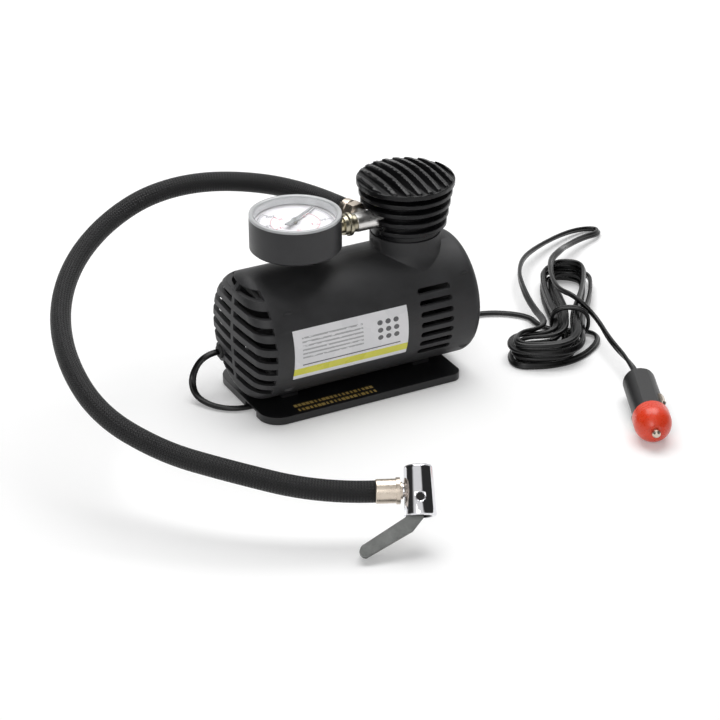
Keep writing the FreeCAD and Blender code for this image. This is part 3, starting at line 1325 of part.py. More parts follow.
def finish():
    doc.recompute()
    broken = [o.Label for o in doc.Objects if "Invalid" in o.State or "Error" in o.State]
    if broken:
        raise RuntimeError("failed objects: %s" % broken)
    os.makedirs("parts", exist_ok=True)
    for item in NODES:
        shape = item.Shape
        if shape.isNull() or not shape.isValid() or not shape.Solids:
            raise RuntimeError("bad shape: %s" % item.Label)
        shape.exportStep("parts/%s.step" % item.Label)
        box = shape.BoundBox
        print("%-22s solids %d volume %9.1f box %.1f %.1f %.1f .. %.1f %.1f %.1f" % (
            item.Label, len(shape.Solids), shape.Volume, box.XMin, box.YMin, box.ZMin, box.XMax, box.YMax, box.ZMax))
    print("%d nodes" % len(NODES))


finish()
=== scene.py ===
"""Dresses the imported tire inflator: camera, cords, moulded and metal pieces, finishes and studio light."""

import math

import bmesh
import bpy
from mathutils import Matrix, Vector


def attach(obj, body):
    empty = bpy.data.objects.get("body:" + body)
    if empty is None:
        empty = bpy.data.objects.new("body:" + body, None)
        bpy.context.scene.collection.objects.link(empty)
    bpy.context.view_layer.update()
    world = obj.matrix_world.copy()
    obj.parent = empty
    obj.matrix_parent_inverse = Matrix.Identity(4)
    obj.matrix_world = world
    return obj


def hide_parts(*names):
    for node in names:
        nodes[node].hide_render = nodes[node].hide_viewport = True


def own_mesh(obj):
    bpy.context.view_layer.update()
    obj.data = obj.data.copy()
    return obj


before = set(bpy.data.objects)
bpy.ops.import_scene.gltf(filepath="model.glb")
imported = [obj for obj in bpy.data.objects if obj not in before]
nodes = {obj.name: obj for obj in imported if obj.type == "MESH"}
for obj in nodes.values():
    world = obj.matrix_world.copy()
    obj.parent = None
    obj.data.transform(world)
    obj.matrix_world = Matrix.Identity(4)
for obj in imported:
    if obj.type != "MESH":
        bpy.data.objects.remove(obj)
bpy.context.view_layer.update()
scene = bpy.context.scene
scene.view_settings.view_transform = "Standard"
MM = 0.001
UNIT = "pump_unit"


def mm(*values):
    return Vector(values) * MM


# ---------------------------------------------------------------- camera

TARGET = mm(9.63, 0.0, 8.71)
BACK = Vector((-0.4136, -0.781, 0.468)).normalized()
DISTANCE = 1.2775
FOCAL_LENGTH = 111.2


def camera():
    data = bpy.data.cameras.new("camera")
    data.lens = FOCAL_LENGTH
    data.sensor_width = 36.0
    data.clip_start, data.clip_end = 0.05, 12.0
    made = bpy.data.objects.new("camera", data)
    scene.collection.objects.link(made)
    made.rotation_mode = "QUATERNION"
    made.location = TARGET + BACK * DISTANCE
    made.rotation_quaternion = (-BACK).to_track_quat("-Z", "Y")
    scene.camera = made


camera()

# ---------------------------------------------------------------- node helpers


NOISE_RANGE = (0.3, 0.7)  # nearly all of a noise lies between these


class Nodes:
    """A node tree under construction: short names for the nodes that shading is made of."""

    def __init__(self, tree):
        self.tree = tree

    def add(self, kind, **settings):
        made = self.tree.nodes.new(kind)
        for key, value in settings.items():
            setattr(made, key, value)
        return made

    def link(self, source, target):
        self.tree.links.new(source, target)

    def feed(self, socket, value):
        if isinstance(value, bpy.types.NodeSocket):
            self.link(value, socket)
        elif value is not None:
            socket.default_value = value

    def place(self, scale=(1, 1, 1)):
        mapping = self.add("ShaderNodeMapping")
        self.link(self.add("ShaderNodeTexCoord").outputs["Object"], mapping.inputs["Vector"])
        mapping.inputs["Scale"].default_value = scale
        return mapping.outputs["Vector"]

    def coordinates(self, source="Object"):
        """The shaded point's three coordinates, one by one."""
        made = self.add("ShaderNodeSeparateXYZ")
        self.link(self.add("ShaderNodeTexCoord").outputs[source], made.inputs[0])
        return made.outputs

    def noise(self, vector, scale, detail=2.0, rough=0.5):
        made = self.add("ShaderNodeTexNoise")
        self.link(vector, made.inputs["Vector"])
        made.inputs["Scale"].default_value = scale
        made.inputs["Detail"].default_value = detail
        made.inputs["Roughness"].default_value = rough
        return made.outputs["Fac"]

    def math(self, operation, first, second=None):
        made = self.add("ShaderNodeMath", operation=operation)
        for socket, value in zip(made.inputs, (first, second)):
            self.feed(socket, value)
        return made.outputs[0]

    def spread(self, value, low, high, out_low=0.0, out_high=1.0, **settings):
        made = self.add("ShaderNodeMapRange", **settings)
        self.feed(made.inputs["Value"], value)
        for key, number in (("From Min", low), ("From Max", high), ("To Min", out_low), ("To Max", out_high)):
            made.inputs[key].default_value = number
        return made.outputs["Result"]

    def level(self, noise, out_low=0.0, out_high=1.0):
        return self.spread(noise, *NOISE_RANGE, out_low, out_high)

    def blend(self, share, first, second):
        made = self.add("ShaderNodeMix", data_type="RGBA")
        self.feed(made.inputs["Factor"], share)
        for socket, value in ((made.inputs[6], first), (made.inputs[7], second)):
            self.feed(socket, (*value, 1.0) if isinstance(value, tuple) else value)
        return made.outputs[2]

    def bump(self, height, strength, distance, under=None):
        made = self.add("ShaderNodeBump")
        made.inputs["Strength"].default_value = strength
        made.inputs["Distance"].default_value = distance
        self.link(height, made.inputs["Height"])
        if under is not None:
            self.link(under, made.inputs["Normal"])
        return made.outputs["Normal"]

    def soft_edges(self, radius):
        made = self.add("ShaderNodeBevel", samples=6)
        made.inputs["Radius"].default_value = radius
        return made.outputs["Normal"]


class Finish(Nodes):
    """A material under construction."""

    def __init__(self, name):
        self.mat = bpy.data.materials.new(name)
        self.mat.use_nodes = True
        super().__init__(self.mat.node_tree)
        self.bsdf = self.tree.nodes["Principled BSDF"]
        self.out = self.tree.nodes["Material Output"]

    def set(self, **values):
        for key, value in values.items():
            self.bsdf.inputs[key.replace("_", " ").title().replace("Ior", "IOR")].default_value = value
        return self

    def wire(self, **sources):
        """Links node outputs to the shader's inputs of those names."""
        for key, source in sources.items():
            self.link(source, self.bsdf.inputs[key.replace("_", " ").title()])

    def coat(self, slow, fine, colour, other, strength, depth, edge):
        """Colour that drifts between two shades, and fine relief over edges rounded by the edge radius."""
        under = self.soft_edges(edge) if edge else None
        self.wire(base_color=self.blend(self.level(slow), colour, other),
                  normal=self.bump(fine, strength, depth, under))


def moulded(name, colour, other, rough, grain=2600.0, depth=0.00006, edge=0.0, strength=0.35, cloud=90.0):
    """Moulded plastic: fine mould grain, slow colour change and uneven gloss."""
    f = Finish(name)
    at = f.place()
    slow = f.noise(at, cloud, 3.0)
    fine = f.noise(at, grain, 2.0)
    f.coat(slow, fine, colour, other, strength, depth, edge)
    f.wire(roughness=f.math("ADD", f.level(slow, rough - 0.035, rough + 0.035), f.level(fine, -0.03, 0.03)))
    return f


def metal(name, colour, other, rough, grain=900.0, depth=0.00002, edge=0.0, strength=0.3):
    """Metal with fine lay marks and a slow stain in its colour."""
    f = Finish(name)
    f.set(metallic=1.0)
    at = f.place()
    slow = f.noise(at, 160.0, 3.0)
    fine = f.noise(at, grain, 3.0, 0.6)
    f.coat(slow, fine, colour, other, strength, depth, edge)
    f.wire(roughness=f.level(fine, rough * 0.8, rough * 1.25))
    return f


# ---------------------------------------------------------------- finishes

housing_black = moulded("housing_black", (0.025, 0.025, 0.026), (0.033, 0.033, 0.035), 0.52, edge=0.0005)
housing_black.set(specular_ior_level=0.36)
cover_black = moulded("cover_black", (0.005, 0.005, 0.0055), (0.008, 0.008, 0.009), 0.3, grain=3400.0,
                      depth=0.00003, edge=0.0004)
cover_black.set(specular_ior_level=0.26)
gauge_black = moulded("gauge_black", (0.016, 0.016, 0.018), (0.022, 0.022, 0.024), 0.42, grain=3000.0,
                      depth=0.00004)
base_black = moulded("base_black", (0.007, 0.007, 0.008), (0.010, 0.010, 0.011), 0.36, grain=3000.0,
                     depth=0.00004, edge=0.0004)
rubber_black = moulded("rubber_black", (0.012, 0.012, 0.012), (0.018, 0.018, 0.018), 0.7, grain=1500.0)
plug_black = moulded("plug_black", (0.006, 0.006, 0.0065), (0.01, 0.01, 0.011), 0.42, grain=2600.0,
                     depth=0.00005, edge=0.0004)
cap_red = moulded("cap_red", (0.74, 0.045, 0.012), (0.8, 0.07, 0.022), 0.3, grain=700.0, depth=0.00002,
                  strength=0.2, cloud=40.0)
cap_red.set(subsurface_weight=0.12, subsurface_scale=0.004)
nylon_white = moulded("nylon_white", (0.62, 0.6, 0.54), (0.7, 0.68, 0.62), 0.45)
iron_grey = metal("iron_grey", (0.2, 0.19, 0.18), (0.3, 0.29, 0.27), 0.5)
steel_bright = metal("steel_bright", (0.5, 0.5, 0.5), (0.6, 0.6, 0.6), 0.3)
screw_steel = metal("screw_steel", (0.24, 0.24, 0.25), (0.34, 0.34, 0.35), 0.35)
copper_wound = metal("copper_wound", (0.62, 0.26, 0.12), (0.74, 0.34, 0.17), 0.35)
alloy_cast = metal("alloy_cast", (0.66, 0.65, 0.63), (0.78, 0.77, 0.75), 0.32, grain=700.0, depth=0.00008,
                   edge=0.0004)
lever_alloy = metal("lever_alloy", (0.13, 0.135, 0.13), (0.2, 0.205, 0.2), 0.46, grain=1100.0, depth=0.00012,
                    edge=0.0006)
brass_turned = metal("brass_turned", (0.44, 0.39, 0.25), (0.54, 0.49, 0.35), 0.3, grain=2500.0, edge=0.0004)
nickel_warm = metal("nickel_warm", (0.58, 0.5, 0.42), (0.68, 0.6, 0.51), 0.3, grain=1200.0, edge=0.0004)
chrome_bright = metal("chrome_bright", (0.74, 0.74, 0.77), (0.78, 0.78, 0.8), 0.06, grain=260.0,
                      depth=0.00004, edge=0.0006, strength=0.08)
# Painted shade: near-black finish that makes the chuck's pivot pin and the cap over it read as the eye's dark
# hollow
pivot_painted_shade = moulded("pivot_painted_shade", (0.004, 0.004, 0.004), (0.006, 0.006, 0.006), 0.7)
needle_grey = moulded("needle_grey", (0.15, 0.155, 0.16), (0.2, 0.205, 0.21), 0.45)
dial_paper = moulded("dial_paper", (0.66, 0.63, 0.66), (0.72, 0.69, 0.72), 0.5, grain=3000.0, depth=0.00001)
dial_print = moulded("dial_print", (0.2, 0.2, 0.22), (0.27, 0.27, 0.29), 0.5)
dial_red = moulded("dial_red", (0.6, 0.12, 0.16), (0.68, 0.18, 0.22), 0.5)
gold_print = moulded("gold_print", (0.52, 0.36, 0.1), (0.62, 0.45, 0.16), 0.4)
glass_fuse = moulded("glass_fuse", (0.7, 0.74, 0.74), (0.76, 0.8, 0.8), 0.1)


PLATING_EDGE = (0.0106, 0.0108)  # where along X the tee's brass turns to plating, in metres


def tee_finish():
    """Brass of the tee, plated silver from the side arm onwards."""
    f = metal("tee_brass", (0.36, 0.33, 0.24), (0.46, 0.43, 0.34), 0.3, grain=2500.0, edge=0.0004)
    plated = f.spread(f.coordinates()[0], *PLATING_EDGE)
    brass = f.bsdf.inputs["Base Color"].links[0].from_socket
    f.wire(base_color=f.blend(plated, brass, (0.6, 0.59, 0.57)))
    return f


tee_brass = tee_finish()


def lens_finish():
    """Clear plastic that lets light through to the dial."""
    f = Finish("lens_clear")
    f.set(base_color=(0.97, 0.98, 0.98, 1), roughness=0.03, transmission_weight=1.0, ior=1.45)
    haze = f.noise(f.place(), 60.0, 2.0)
    f.wire(roughness=f.level(haze, 0.02, 0.05))
    clear = f.add("ShaderNodeBsdfTransparent")
    clear.inputs["Color"].default_value = (0.95, 0.96, 0.96, 1)
    mix = f.add("ShaderNodeMixShader")
    f.link(f.add("ShaderNodeLightPath").outputs["Is Shadow Ray"], mix.inputs[0])
    f.link(f.bsdf.outputs[0], mix.inputs[1])
    f.link(clear.outputs[0], mix.inputs[2])
    f.link(mix.outputs[0], f.out.inputs["Surface"])
    return f


def rim_finish():
    """Milky glossy plastic of the lens's rim."""
    f = moulded("lens_rim_pale", (0.52, 0.53, 0.54), (0.6, 0.61, 0.62), 0.16, grain=900.0, depth=0.00001)
    f.set(transmission_weight=0.25, coat_weight=0.6, coat_roughness=0.06)
    return f


lens_clear = lens_finish()
lens_rim_pale = rim_finish()


# The side label: left end, length and the barrel axis's height in metres; lowest angle and span in degrees.
LABEL_START, LABEL_LENGTH, BARREL_AXIS = -0.0496, 0.0706, 0.0417
LABEL_LOWEST, LABEL_SPAN = -24.4, 48.0


def label_finish():
    """Plain print on the barrel's own length and angle: ruled lines, a grid of dots and a low band."""
    f = Finish("label_print")
    x, y, z = f.coordinates()
    across = f.math("DIVIDE", f.math("SUBTRACT", x, LABEL_START), LABEL_LENGTH)
    angle = f.math("ARCTAN2", f.math("SUBTRACT", z, BARREL_AXIS), f.math("MULTIPLY", y, -1.0))
    up = f.math("DIVIDE", f.math("SUBTRACT", angle, math.radians(LABEL_LOWEST)), math.radians(LABEL_SPAN))
    cells_across, cells_up = 14.0, 7.0

    def between(value, low, high):
        return f.math("MULTIPLY", f.math("GREATER_THAN", value, low), f.math("LESS_THAN", value, high))

    def block(left, right, bottom, top):
        return f.math("MULTIPLY", between(across, left, right), between(up, bottom, top))

    def from_cell_middle(value, cells):
        return f.math("SUBTRACT", f.math("FRACT", f.math("MULTIPLY", value, cells)), 0.5)

    def squared(value):
        return f.math("MULTIPLY", value, value)

    ragged = f.noise(f.place((260.0, 0.0, 900.0)), 1.0, 2.0)
    yellow = block(-0.1, 1.1, 0.09, 0.25)
    rule = block(0.07, 0.93, 0.3, 0.325)
    reach = f.math("ADD", squared(from_cell_middle(across, cells_across)),
                   squared(from_cell_middle(up, cells_up)))
    grid = block(10 / cells_across, 13 / cells_across, 3 / cells_up, 6 / cells_up)
    dots = f.math("MULTIPLY", grid, f.math("LESS_THAN", reach, 0.11))
    ruled = f.math("LESS_THAN", f.math("FRACT", f.math("DIVIDE", up, 0.075)), 0.42)
    lines = f.math("MULTIPLY", f.math("MULTIPLY", block(0.07, 0.6, 0.45, 0.87), ruled),
                   f.math("GREATER_THAN", ragged, 0.4))
    slow = f.noise(f.place(), 60.0, 3.0)
    paper = f.blend(f.level(slow), (0.78, 0.78, 0.8), (0.85, 0.84, 0.86))
    printed = f.blend(f.math("MULTIPLY", lines, 0.75), paper, (0.3, 0.3, 0.31))
    printed = f.blend(yellow, printed, f.blend(f.level(slow), (0.68, 0.66, 0.05), (0.78, 0.75, 0.1)))
    printed = f.blend(f.math("MULTIPLY", f.math("MAXIMUM", dots, rule), 0.9), printed, (0.05, 0.05, 0.055))
    f.wire(base_color=printed, roughness=f.level(slow, 0.22, 0.34),
           normal=f.bump(f.noise(f.place(), 900.0, 2.0), 0.15, 0.00003))
    return f


label_print = label_finish()


STRANDS_ROUND, STRANDS_A_METRE = 22.0, 640.0


def braid_finish():
    """Braided rubber: two families of strands that wind opposite ways and pass over and under."""
    f = Finish("hose_braid")
    round_it, run, _ = f.coordinates("UV")
    around = f.math("MULTIPLY", round_it, STRANDS_ROUND)
    along = f.math("MULTIPLY", run, STRANDS_A_METRE)
    left = f.math("ADD", around, along)
    right = f.math("SUBTRACT", around, along)
    over = f.math("PINGPONG", f.math("ADD", f.math("FLOOR", left), f.math("FLOOR", right)), 1.0)
    ridge_left = f.math("ABSOLUTE", f.math("SINE", f.math("MULTIPLY", left, math.pi)))
    ridge_right = f.math("ABSOLUTE", f.math("SINE", f.math("MULTIPLY", right, math.pi)))
    height = f.math("ADD", f.math("MULTIPLY", ridge_left, over),
                    f.math("MULTIPLY", ridge_right, f.math("SUBTRACT", 1.0, over)))
    fine = f.noise(f.place(), 2200.0, 2.0)
    slow = f.noise(f.place(), 45.0, 2.0)
    # Painted shade: the colour is darker in the low grooves between the strands and lighter on their raised
    # tops
    shade = f.blend(height, (0.002, 0.002, 0.002), (0.02, 0.02, 0.021))
    f.wire(base_color=f.blend(f.spread(slow, 0.35, 0.65, 0.0, 0.2), shade, (0.01, 0.01, 0.011)),
           roughness=f.level(fine, 0.42, 0.56),
           normal=f.bump(height, 0.9, 0.00045, f.bump(fine, 0.2, 0.00005)))
    f.set(specular_ior_level=0.32)
    return f


def cord_finish():
    """Soft vinyl of the twin cord, a little glossy along its ridges."""
    f = Finish("cord_vinyl")
    at = f.place()
    slow = f.noise(at, 140.0, 2.0)
    fine = f.noise(at, 2400.0, 2.0)
    f.coat(slow, fine, (0.003, 0.003, 0.003), (0.007, 0.007, 0.0075), 0.15, 0.00004, 0.0)
    f.wire(roughness=f.level(slow, 0.24, 0.36))
    f.set(specular_ior_level=0.33)
    return f


hose_braid = braid_finish()
cord_vinyl = cord_finish()

# ---------------------------------------------------------------- cords and hose


def guide(name, points):
    """Points along the smooth line that the control points give, in metres."""
    data = bpy.data.curves.new(name, "CURVE")
    data.dimensions = "3D"
    spline = data.splines.new("NURBS")
    spline.points.add(len(points) - 1)
    for spot, point in zip(spline.points, points):
        spot.co = (*point, 1.0)
    spline.order_u = 3
    spline.use_endpoint_u = True
    spline.resolution_u = 10
    holder = bpy.data.objects.new(name, data)
    scene.collection.objects.link(holder)
    mesh = bpy.data.meshes.new_from_object(holder)
    line = [v.co.copy() for v in mesh.vertices]
    bpy.data.objects.remove(holder)
    bpy.data.curves.remove(data)
    bpy.data.meshes.remove(mesh)
    return [p for i, p in enumerate(line) if i == 0 or (p - line[i - 1]).length > 1e-7]


def length_of(line):
    return sum((b - a).length for a, b in zip(line, line[1:]))


def clean(name, mesh, finish, smooth=True):
    made = bpy.data.objects.new(name, mesh)
    scene.collection.objects.link(made)
    mesh.materials.clear()
    mesh.materials.append(finish.mat)
    if smooth:
        mesh.shade_smooth()
    return made


def piece(name, mesh, finish, smooth=True, sharp=None):
    """An edited mesh as a piece; edges over the sharp angle (degrees) stay sharp."""
    data = bpy.data.meshes.new(name)
    mesh.to_mesh(data)
    mesh.free()
    made = clean(name, data, finish, smooth)
    if sharp:
        data.set_sharp_from_angle(angle=math.radians(sharp))
    return made


FLOOR_GAP = 0.00005  # a swept piece stays this far above the floor, in metres
EASED = 8  # rings each way over which a lift off the floor fades


def swept(name, line, section, finish, roll=None):
    """Skin of a section (x wide, y thick, in metres) carried along a line.

    u runs round it, and v along it in metres. roll gives the section's turn from the length run so far.
    """
    mesh = bmesh.new()
    uv = mesh.loops.layers.uv.new("UVMap")
    outlines, lengths, run = [], [], 0.0
    side = None
    for i, point in enumerate(line):
        if i:
            run += (point - line[i - 1]).length
        ahead = (line[min(i + 1, len(line) - 1)] - line[max(i - 1, 0)]).normalized()
        if roll is None:
            side = ahead.orthogonal() if side is None else side - ahead * side.dot(ahead)
            side.normalize()
            wide, thick = side, ahead.cross(side)
        else:
            level = ahead.cross(Vector((0, 0, 1))).normalized()
            over = level.cross(ahead)
            turn = roll(run)
            wide = level * math.cos(turn) + over * math.sin(turn)
            thick = wide.cross(ahead)
        outlines.append([point + wide * x + thick * y for x, y in section])
        lengths.append(run)
    count = len(section)
    short = [max(0.0, FLOOR_GAP - min(corner.z for corner in outline)) for outline in outlines]
    lift = [max(short[max(i - EASED, 0):i + EASED + 1]) for i in range(len(short))]
    rings = []
    for i, outline in enumerate(outlines):
        near = lift[max(i - EASED, 0):i + EASED + 1]
        rise = Vector((0, 0, sum(near) / len(near)))
        rings.append([mesh.verts.new(corner + rise) for corner in outline])
    for i in range(len(rings) - 1):
        for j in range(count):
            k = (j + 1) % count
            face = mesh.faces.new((rings[i][j], rings[i][k], rings[i + 1][k], rings[i + 1][j]))
            for loop, (u, v) in zip(face.loops, ((j, i), (j + 1, i), (j + 1, i + 1), (j, i + 1))):
                loop[uv].uv = (u / count, lengths[v])
    mesh.faces.new(rings[0][::-1])
    mesh.faces.new(rings[-1])
    bmesh.ops.recalc_face_normals(mesh, faces=mesh.faces)
    return piece(name, mesh, finish)


def round_section(radius, count):
    return [(radius * math.cos(2 * math.pi * i / count), radius * math.sin(2 * math.pi * i / count))
            for i in range(count)]


def twin_section(core, apart):
    """Figure-of-eight outline of a twin cord."""
    half = []
    for i in range(9):
        turn = math.radians(-128 + 32 * i)
        half.append((apart + core * math.cos(turn), core * math.sin(turn)))
    return half + [(-x, -y) for x, y in half]


# The hose, in millimetres: out of the pump's port, over the back and round to the chuck.
PORT_AXIS = Vector((-0.24192, 0.97030, 0.0))
HOSE_START = Vector((12.2, -3.0, 98.6)) + PORT_AXIS * 18.0
CHUCK = Vector((-46.4, -169.0, 28.0))
MOUTH = Vector((0.248, 0.595, 0.767)).normalized()
TOWARDS_HOSE = Vector((-0.91, 0.41, 0.0)).normalized()
HOSE_END = CHUCK + TOWARDS_HOSE * 22.0
HOSE_ROUTE = [HOSE_START, HOSE_START + PORT_AXIS * 38.8, (-44.1, 71.6, 105.3), (-82.1, 75.8, 103.7),
              (-113.4, 72.2, 92.5), (-142.3, 50.9, 82.4), (-163.7, 18.2, 72.3), (-175.5, -23.7, 63.4),
              (-173.9, -62.9, 51.8), (-153.6, -93.2, 40.7), (-131.7, -119.5, 37.8),
              HOSE_END + TOWARDS_HOSE * 27.8, HOSE_END]


def air_hose():
    line = guide("hose_line", [Vector(p) * MM for p in HOSE_ROUTE])
    made = swept("air_hose", line, round_section(5.6 * MM, 40), hose_braid)
    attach(made, UNIT)
    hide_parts("hose")
    return made, line


# The tied hank, in millimetres: its waist, the strip that it lies along and its strands' spacing.
HANK = Vector((135.6, -24.1, 0))
ALONG = Vector((0.5165, 0.8563, 0))
ACROSS = Vector((0.8563, -0.5165, 0))
BEND = 22.0  # radius on which the low loops curve
LOW_END, NECK, HIGH, TOP = 34.0, 16.0, 46.0, 73.0  # distances from the waist
PITCH, LOW_PITCH, HIGH_PITCH = 4.35, 4.5, 4.6
NECK_SPREAD, LOW_SPREAD, HIGH_SPREAD = 0.2, 5.6, 7.5  # how far out the innermost strand lies
LAYER, LEAN, LAYER_TURNS = 4.15, 2.0, 1.5  # rise, sideways shift and turns of one layer
FIRST_TURN, LAST_TURN = 0.125, 5.375
LEAVING = 30.0  # degrees by which the cord turns off as it leaves the waist
LIFT = 3.9  # extra height of the waist
CORD_HALF = 1.7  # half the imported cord's thickness
TIE_GAP = 1.55  # from a strand's surface to the tie's middle line
# Each eighth of a turn: its place, its side of the middle and its way along the strip.
HANK_TURN = [(0, "waist", 1, -1), (1, "low", 1, -1), (2, "low_end", 0, 0), (3, "low", -1, 1),
             (4, "waist", -1, 1), (4.35, "neck", -1, 1), (5, "high", -1, 1), (5.5, "top", -1, 1),
             (6, "top_end", 0, 0), (6.5, "top", 1, -1), (7, "high", 1, -1), (7.65, "neck", 1, -1)]


def hank_point(along, across, height):
    """Point and axes in the hank's own strip, which is straight above the waist and curved below it."""
    if along >= 0:
        return HANK + ALONG * along + ACROSS * across + Vector((0, 0, height)), ALONG, ACROSS
    curved = max(along, -LOW_END)
    out = Matrix.Rotation(curved / BEND, 3, "Z") @ ACROSS
    axis = Vector((-out.y, out.x, 0))
    at = HANK - ACROSS * BEND + out * (BEND + across) + axis * (along - curved)
    return at + Vector((0, 0, height)), axis, out


def hank_stations():
    """The tied hank's stations and headings: loops that spiral in and out, a layer higher at each change."""
    stations = []
    for count in range(6):
        for eighth, kind, side, way in HANK_TURN:
            turns = count + eighth / 8
            if turns < FIRST_TURN - 1e-9 or turns > LAST_TURN + 1e-9:
                continue
            layer = int(turns / LAYER_TURNS + 1e-9)
            phase = turns - LAYER_TURNS * layer
            step = 2 - phase if layer % 2 == 0 else 0.5 + phase
            column = step - 0.25 * (1 + side)
            height = CORD_HALF
            lean = 0.0
            for change, sign in ((1.5, 1), (3.0, -1), (4.5, 1)):
                share = min(max((turns - change + 0.125) / 0.25, 0.0), 1.0)
                share = share * share * (3 - 2 * share)
                height += LAYER * share
                lean += LEAN * share * sign
            low = column * LOW_PITCH + LOW_SPREAD
            high = column * HIGH_PITCH + HIGH_SPREAD
            along, across = {"waist": (0, column * PITCH), "neck": (NECK, column * PITCH + NECK_SPREAD),
                             "low": (-LOW_END, low), "low_end": (-LOW_END - low, 0),
                             "high": (HIGH, high), "top": (TOP, high), "top_end": (TOP + high, 0)}[kind]
            if kind in ("waist", "neck"):
                height += LIFT
            at, axis, out = hank_point(along, across * side + lean, height)
            heading = axis * way if way else (out if kind == "top_end" else out * -1)
            stations.append((at, heading))
    last, heading = stations[-1]
    stations[-1] = (last, Matrix.Rotation(math.radians(LEAVING), 3, "Z") @ heading)
    return stations


# Control points in millimetres; those of LEAD_UNDER lie in the hank's own strip.
LEAD_ROUTE = [(-70.7, 19.0, 25.0), (-79.8, 19.0, 25.0), (-87.5, 19.0, 14.0), (-88.5, 14.0, 4.5),
              (-84.0, 3.0, 1.8), (-74.0, -7.5, 1.75), (-59.0, -9.5, 1.7), (-34.0, -3.0, 1.75),
              (2.0, 1.5, 1.7), (36.0, 2.0, 1.75), (58.0, 12.0, 1.7), (79.0, 26.0, 1.75), (101.0, 33.0, 1.75),
              (119.3, 27.0, 1.7)]
LEAD_UNDER = [(31.0, -22.5), (20.0, -17.5), (13.5, -9.0), (13.5, 11.0), (8.0, 18.0), (-2.0, 17.5),
              (-12.0, 14.5), (-21.0, 13.0)]
TAIL_ROUTE = [(122.1, -19.4, 14.0), (126.4, -9.2, 12.8), (129.3, 0.7, 11.0), (134.3, 17.5, 10.0),
              (139.8, 32.9, 10.0), (148.5, 52.8, 10.3), (163.9, 73.2, 8.8), (185.0, 87.8, 6.6),
              (210.1, 99.7, 4.6), (228.0, 104.4, 2.6), (238.2, 101.0, 2.0), (233.7, 91.9, 3.4),
              (217.1, 86.4, 6.0), (195.6, 73.8, 9.3), (183.1, 58.5, 16.8), (165.5, 44.2, 19.2),
              (152.9, 23.0, 20.3), (146.0, 3.4, 21.0), (147.8, -11.6, 23.0), (155.5, -25.0, 12.0),
              (147.9, -50.0, 10.5)]
PLUG_REAR = Vector((137.2, -93.5, 10.5))
PLUG_AXIS = Vector((-0.424, -0.906, 0)).normalized()


FLAT_LEAD = 0.3  # length over which the cord lies flat, in metres


def power_cord():
    """One twin cord from the bush to the plug: lead, tied hank, outer loop and tail."""
    stations = hank_stations()
    points = [Vector(p) for p in LEAD_ROUTE] + [hank_point(a, c, CORD_HALF)[0] for a, c in LEAD_UNDER]
    points.append(stations[0][0] - stations[0][1] * 6)
    for (here, way), (there, then) in zip(stations, stations[1:]):
        reach = (there - here).length / (2 * max(0.3, math.cos(way.angle(then) / 2)))
        points.append((here + way * reach + there - then * reach) / 2)
    points.append(stations[-1][0] + stations[-1][1] * 5.0)
    points += [Vector(p) for p in TAIL_ROUTE] + [PLUG_REAR - PLUG_AXIS * 12, PLUG_REAR]
    line = guide("cord_line", [p * MM for p in points])
    total = length_of(line)

    def roll(run):
        """Turn of the twin section: even along the lead, wandering in the loops, level at the plug."""
        if run < FLAT_LEAD:
            return math.radians(8)
        loose = min(1.0, (run - FLAT_LEAD) / 0.05) * min(1.0, max(0.0, (total - run) / 0.03))
        return loose * math.radians(52 + 26 * math.sin(run * 23.0) + 14 * math.sin(run * 61.0 + 1.0))

    made = swept("power_cord", line, twin_section(1.22 * MM, 0.86 * MM), cord_vinyl, roll)
    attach(made, UNIT)
    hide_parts("cord_lead", "cord_hank", "cord_tail")
    return made, line, total


def hank_tie():
    """Thin strand wound round the waist of the hank."""
    clear = CORD_HALF + TIE_GAP
    left = -(1.5 * PITCH + NECK_SPREAD + clear)
    right = 1.5 * PITCH + NECK_SPREAD + LEAN + clear
    low = CORD_HALF + LIFT - clear
    high = CORD_HALF + LIFT + 3 * LAYER + clear
    points = []
    for i in range(10):
        across = right if i % 4 in (1, 2) else left
        if i in (0, 9):
            across = -2.0 if i == 0 else 2.0
        points.append(hank_point(1.8 + 0.6 * (i + 0.5), across, high if i % 4 in (2, 3) else low)[0] * MM)
    line = guide("tie_line", points)
    made = swept("hank_tie", line, round_section(1.05 * MM, 14), cord_vinyl)
    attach(made, UNIT)
    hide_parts("cord_tie")
    return made, line


hose_piece, hose_line = air_hose()
cord_piece, cord_line, cord_length = power_cord()
tie_piece, tie_line = hank_tie()

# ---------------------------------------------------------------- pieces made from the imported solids

SHARP = 32.0  # edges over this angle stay sharp, in degrees


def merged(name, node, finish, body, edge=0.0, flat=0.6):
    """A joined-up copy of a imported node, standing for it; edge rounds its sharp edges, in millimetres."""
    mesh = bmesh.new()
    mesh.from_mesh(nodes[node].data)
    bmesh.ops.remove_doubles(mesh, verts=mesh.verts, dist=2e-6)
    bmesh.ops.dissolve_limit(mesh, angle_limit=math.radians(flat), verts=mesh.verts, edges=mesh.edges)
    made = piece(name, mesh, finish, sharp=SHARP)
    if edge:
        bevel = made.modifiers.new("edges", "BEVEL")
        bevel.width = edge * MM
        bevel.segments = 2
        bevel.limit_method = "ANGLE"
        bevel.angle_limit = math.radians(SHARP)
        bevel.use_clamp_overlap = True
        bevel.harden_normals = True
        bevel.miter_outer = "MITER_ARC"
    normals = made.modifiers.new("normals", "WEIGHTED_NORMAL")
    normals.keep_sharp = True
    normals.weight = 80
    settle(made)
    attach(made, body)
    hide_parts(node)
    return made


def settle(made):
    """Turns the modifiers' result into the piece's own plain mesh."""
    view = bpy.context.evaluated_depsgraph_get()
    view.update()
    data = bpy.data.meshes.new_from_object(made.evaluated_get(view), preserve_all_data_layers=True,
                                           depsgraph=view)
    old = made.data
    made.modifiers.clear()
    made.data = data
    data.name = made.name
    bpy.data.meshes.remove(old)
    return made


def dress(node, finish):
    """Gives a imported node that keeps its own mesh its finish."""
    data = nodes[node].data
    data.materials.clear()
    data.materials.append(finish.mat)


